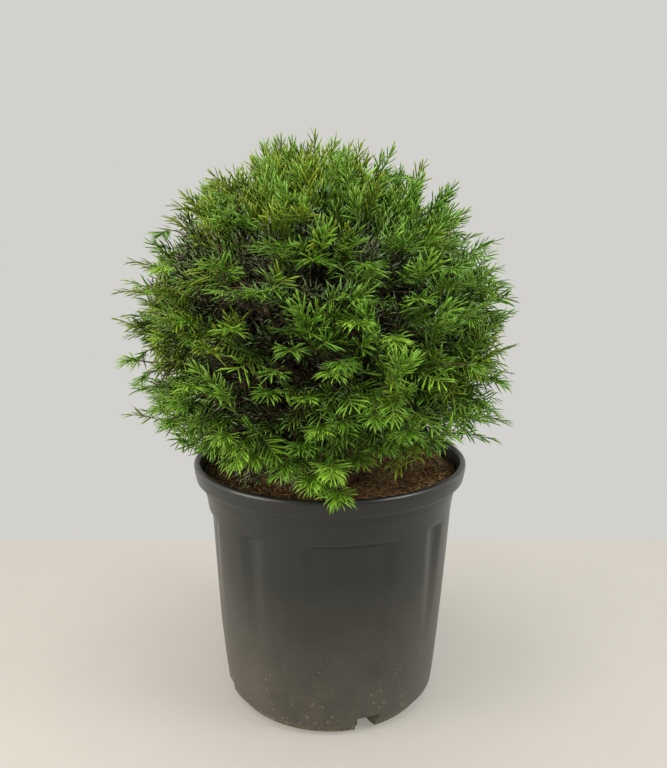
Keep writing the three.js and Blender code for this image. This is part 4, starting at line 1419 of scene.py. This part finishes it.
def needle_arrays(runs, rng):
    """Tone, base, direction, blade side, blade face, curl, length, width and shade of every needle."""
    columns = Run(*(np.array(column) for column in zip(*runs)))
    middle = (columns.first + columns.last) / 2
    ends = point_at(columns.curve[:, None], np.stack([columns.first, middle, columns.last], axis=1))
    run_length = np.linalg.norm(np.diff(ends, axis=1), axis=2).sum(axis=1)
    count = np.maximum(LEAST_IN_RUN, 2 * np.round(run_length / columns.step).astype(int))
    which = np.repeat(np.arange(len(runs)), count)
    total = len(which)
    order = np.arange(total) - np.repeat(np.cumsum(count) - count, count)
    run = Run(*(column[which] for column in columns))
    share = (order + 0.5 + rng.uniform(-0.3, 0.3, total)) / count[which]
    along = run.first + (run.last - run.first) * share
    ahead = tangent_at(run.curve, along)
    side = unit(np.cross(ahead, run.face))
    above = np.cross(side, ahead)
    # two rows that rise a little off the shoot's plane, or a spiral all round it
    way = np.where(order % 2, 0.0, math.pi)
    rise = np.where(order % 2, 1, -1) * (ROW_RISE + rng.normal(0, ROW_STRAY, total))
    spiral = order * math.radians(GOLDEN_ANGLE) + rng.normal(0, ROW_STRAY, total)
    around = np.where(run.radial, spiral, way + rise)
    out = side * np.cos(around)[:, None] + above * np.sin(around)[:, None]
    lean = np.radians(run.angle * (1 - CLOSING * share) + rng.normal(0, ANGLE_STRAY, total))
    # the last needles close over the tip's bud
    lean = np.where((run.last > 0.99) & (share > 0.9), lean * 0.5, lean)
    direction = unit(ahead * np.cos(lean)[:, None] + out * np.sin(lean)[:, None])
    face = np.where(run.radial[:, None], ahead, above) + rng.normal(0, FACE_STRAY, (total, 3))
    face = unit(face - direction * (face * direction).sum(-1, keepdims=True))
    across = np.cross(direction, face)
    profile = 0.72 + 0.28 * np.sin(math.pi * np.clip(share * 1.05, 0, 1)) - 0.12 * smoothstep(0.8, 1, share)
    length = run.length * profile * rng.uniform(0.86, 1.1, total)
    curl = ahead * rng.uniform(0.04, 0.26, (total, 1))
    curl = curl - UP * (run.droop + rng.uniform(-0.08, 0.1, total))[:, None]
    curl = curl - direction * (curl * direction).sum(-1, keepdims=True)
    base = point_at(run.curve, along) + out * 0.3
    shade = 0.45 * run.shade + 0.2 * share + 0.35 * rng.random(total)
    width = NEEDLE_WIDTH * run.broad * length / NEEDLE_LENGTH
    return run.tone, base, direction, across, face, curl, length, width, shade


def needle_mesh(name, rings, base, direction, across, face, curl, length, width, shade):
    """One mesh of three-sided needles that taper to a point."""
    rows = [] if rings[0] == 0 else [base[:, None]]
    for ring in rings:
        wide = width * (BASE_HALF_WIDTH if ring == 0 else HALF_WIDTH)
        centre = base + direction * (length * ring)[:, None] + curl * (length * ring**2)[:, None]
        left = centre - across * wide[:, None]
        right = centre + across * wide[:, None]
        keel = centre - face * (wide * 2 * NEEDLE_KEEL)[:, None]
        rows.append(np.stack([left, right, keel], axis=1))
    rows.append((base + direction * length[:, None] + curl * length[:, None])[:, None])
    points = np.concatenate(rows, axis=1)
    corners = points.shape[1]
    triangles = needle_faces(rings)[None] + corners * np.arange(len(base))[:, None, None]
    return joined_mesh(name, points.reshape(-1, 3), triangles.reshape(-1, 3), np.repeat(shade, corners))


def make_needles(shoots):
    tones, *placed = needle_arrays(shoots.runs, np.random.default_rng(31))
    for tone, (dark, light, roughness, rings) in NEEDLES.items():
        own = tones == tone
        mesh = needle_mesh("needles_" + tone, rings, *(part[own] for part in placed))
        material = waxy_needle(tone, dark, light, roughness)
        add_piece("needles_" + tone, mesh, material, crown_nodes)


def make_twigs(shoots):
    bark = flaking_bark("twig_yew_bark", "#2e2015", "#66503a", 1.5)
    skin = young_shoot("green_yew_shoot", "#5d6a2c", "#8b9a48")
    for name, stems, steps, material, slot in (
        ("twigs_brown", shoots.brown, 4, bark, "bark"),
        ("shoots_green", shoots.green, 3, skin, "needles"),
    ):
        curves, thick, thin = (np.array(column) for column in zip(*stems))
        points, triangles = tubes(curves, thick, thin, steps)
        add_piece(name, joined_mesh(name, points, triangles), material, crown_nodes)


def make_foliage():
    rng = np.random.default_rng(11)
    shoots = Shoots()
    every_rule = []
    for mass in masses:
        rule = rule_twigs(mass)
        every_rule += rule
        finer = [twig for layer in LAYERS for twig in finer_twigs(mass, rule, layer)]
        for twig in rule + finer:
            grow_frond(shoots, twig, rng)
        for fan, count in ((False, mass["ring"]["leaders"]), (True, mass["ring"]["fans"])):
            for twig in lone_shoots(mass, rule, count, fan):
                grow_single(shoots, twig, rng, fan)
    for fan, places in ((False, LONG_SHOOTS), (True, FRESH_FANS)):
        for twig in placed_twigs(places, every_rule):
            grow_single(shoots, twig, rng, fan)
    shoots.brown += old_stems()
    make_twigs(shoots)
    make_needles(shoots)


def make_fallen_needles():
    rng = np.random.default_rng(53)
    base = place_on_soil(rng, FALLEN_NEEDLES) + UP * 0.9
    turn = rng.random(FALLEN_NEEDLES) * math.tau
    way = np.stack([np.cos(turn), np.sin(turn), rng.normal(0.03, 0.06, FALLEN_NEEDLES)], axis=-1)
    inside = np.hypot(*(base + way * NEEDLE_LENGTH).T[:2]) < SOIL_RADIUS
    base = base[inside]
    direction = unit(way[inside])
    across = unit(np.cross(direction, UP))
    face = np.cross(across, direction)
    length = NEEDLE_LENGTH * rng.uniform(0.7, 1.0, len(base))
    width = np.full(len(base), NEEDLE_WIDTH)
    shade = rng.random(len(base))
    mesh = needle_mesh("fallen_needles", LONG_RINGS, base, direction, across, face, across * 0.1,
                       length, width, shade)
    add_piece("fallen_needles", mesh, waxy_needle("fallen", "#6b5030", "#a98a58", 0.75), [])


def make_litter():
    rng = np.random.default_rng(7)
    make_fibres(rng)
    make_chips(rng)


set_camera()
make_floor()
light_room()
make_pot()
make_soil()
make_litter()
make_limbs()
make_foliage()
make_fallen_needles()
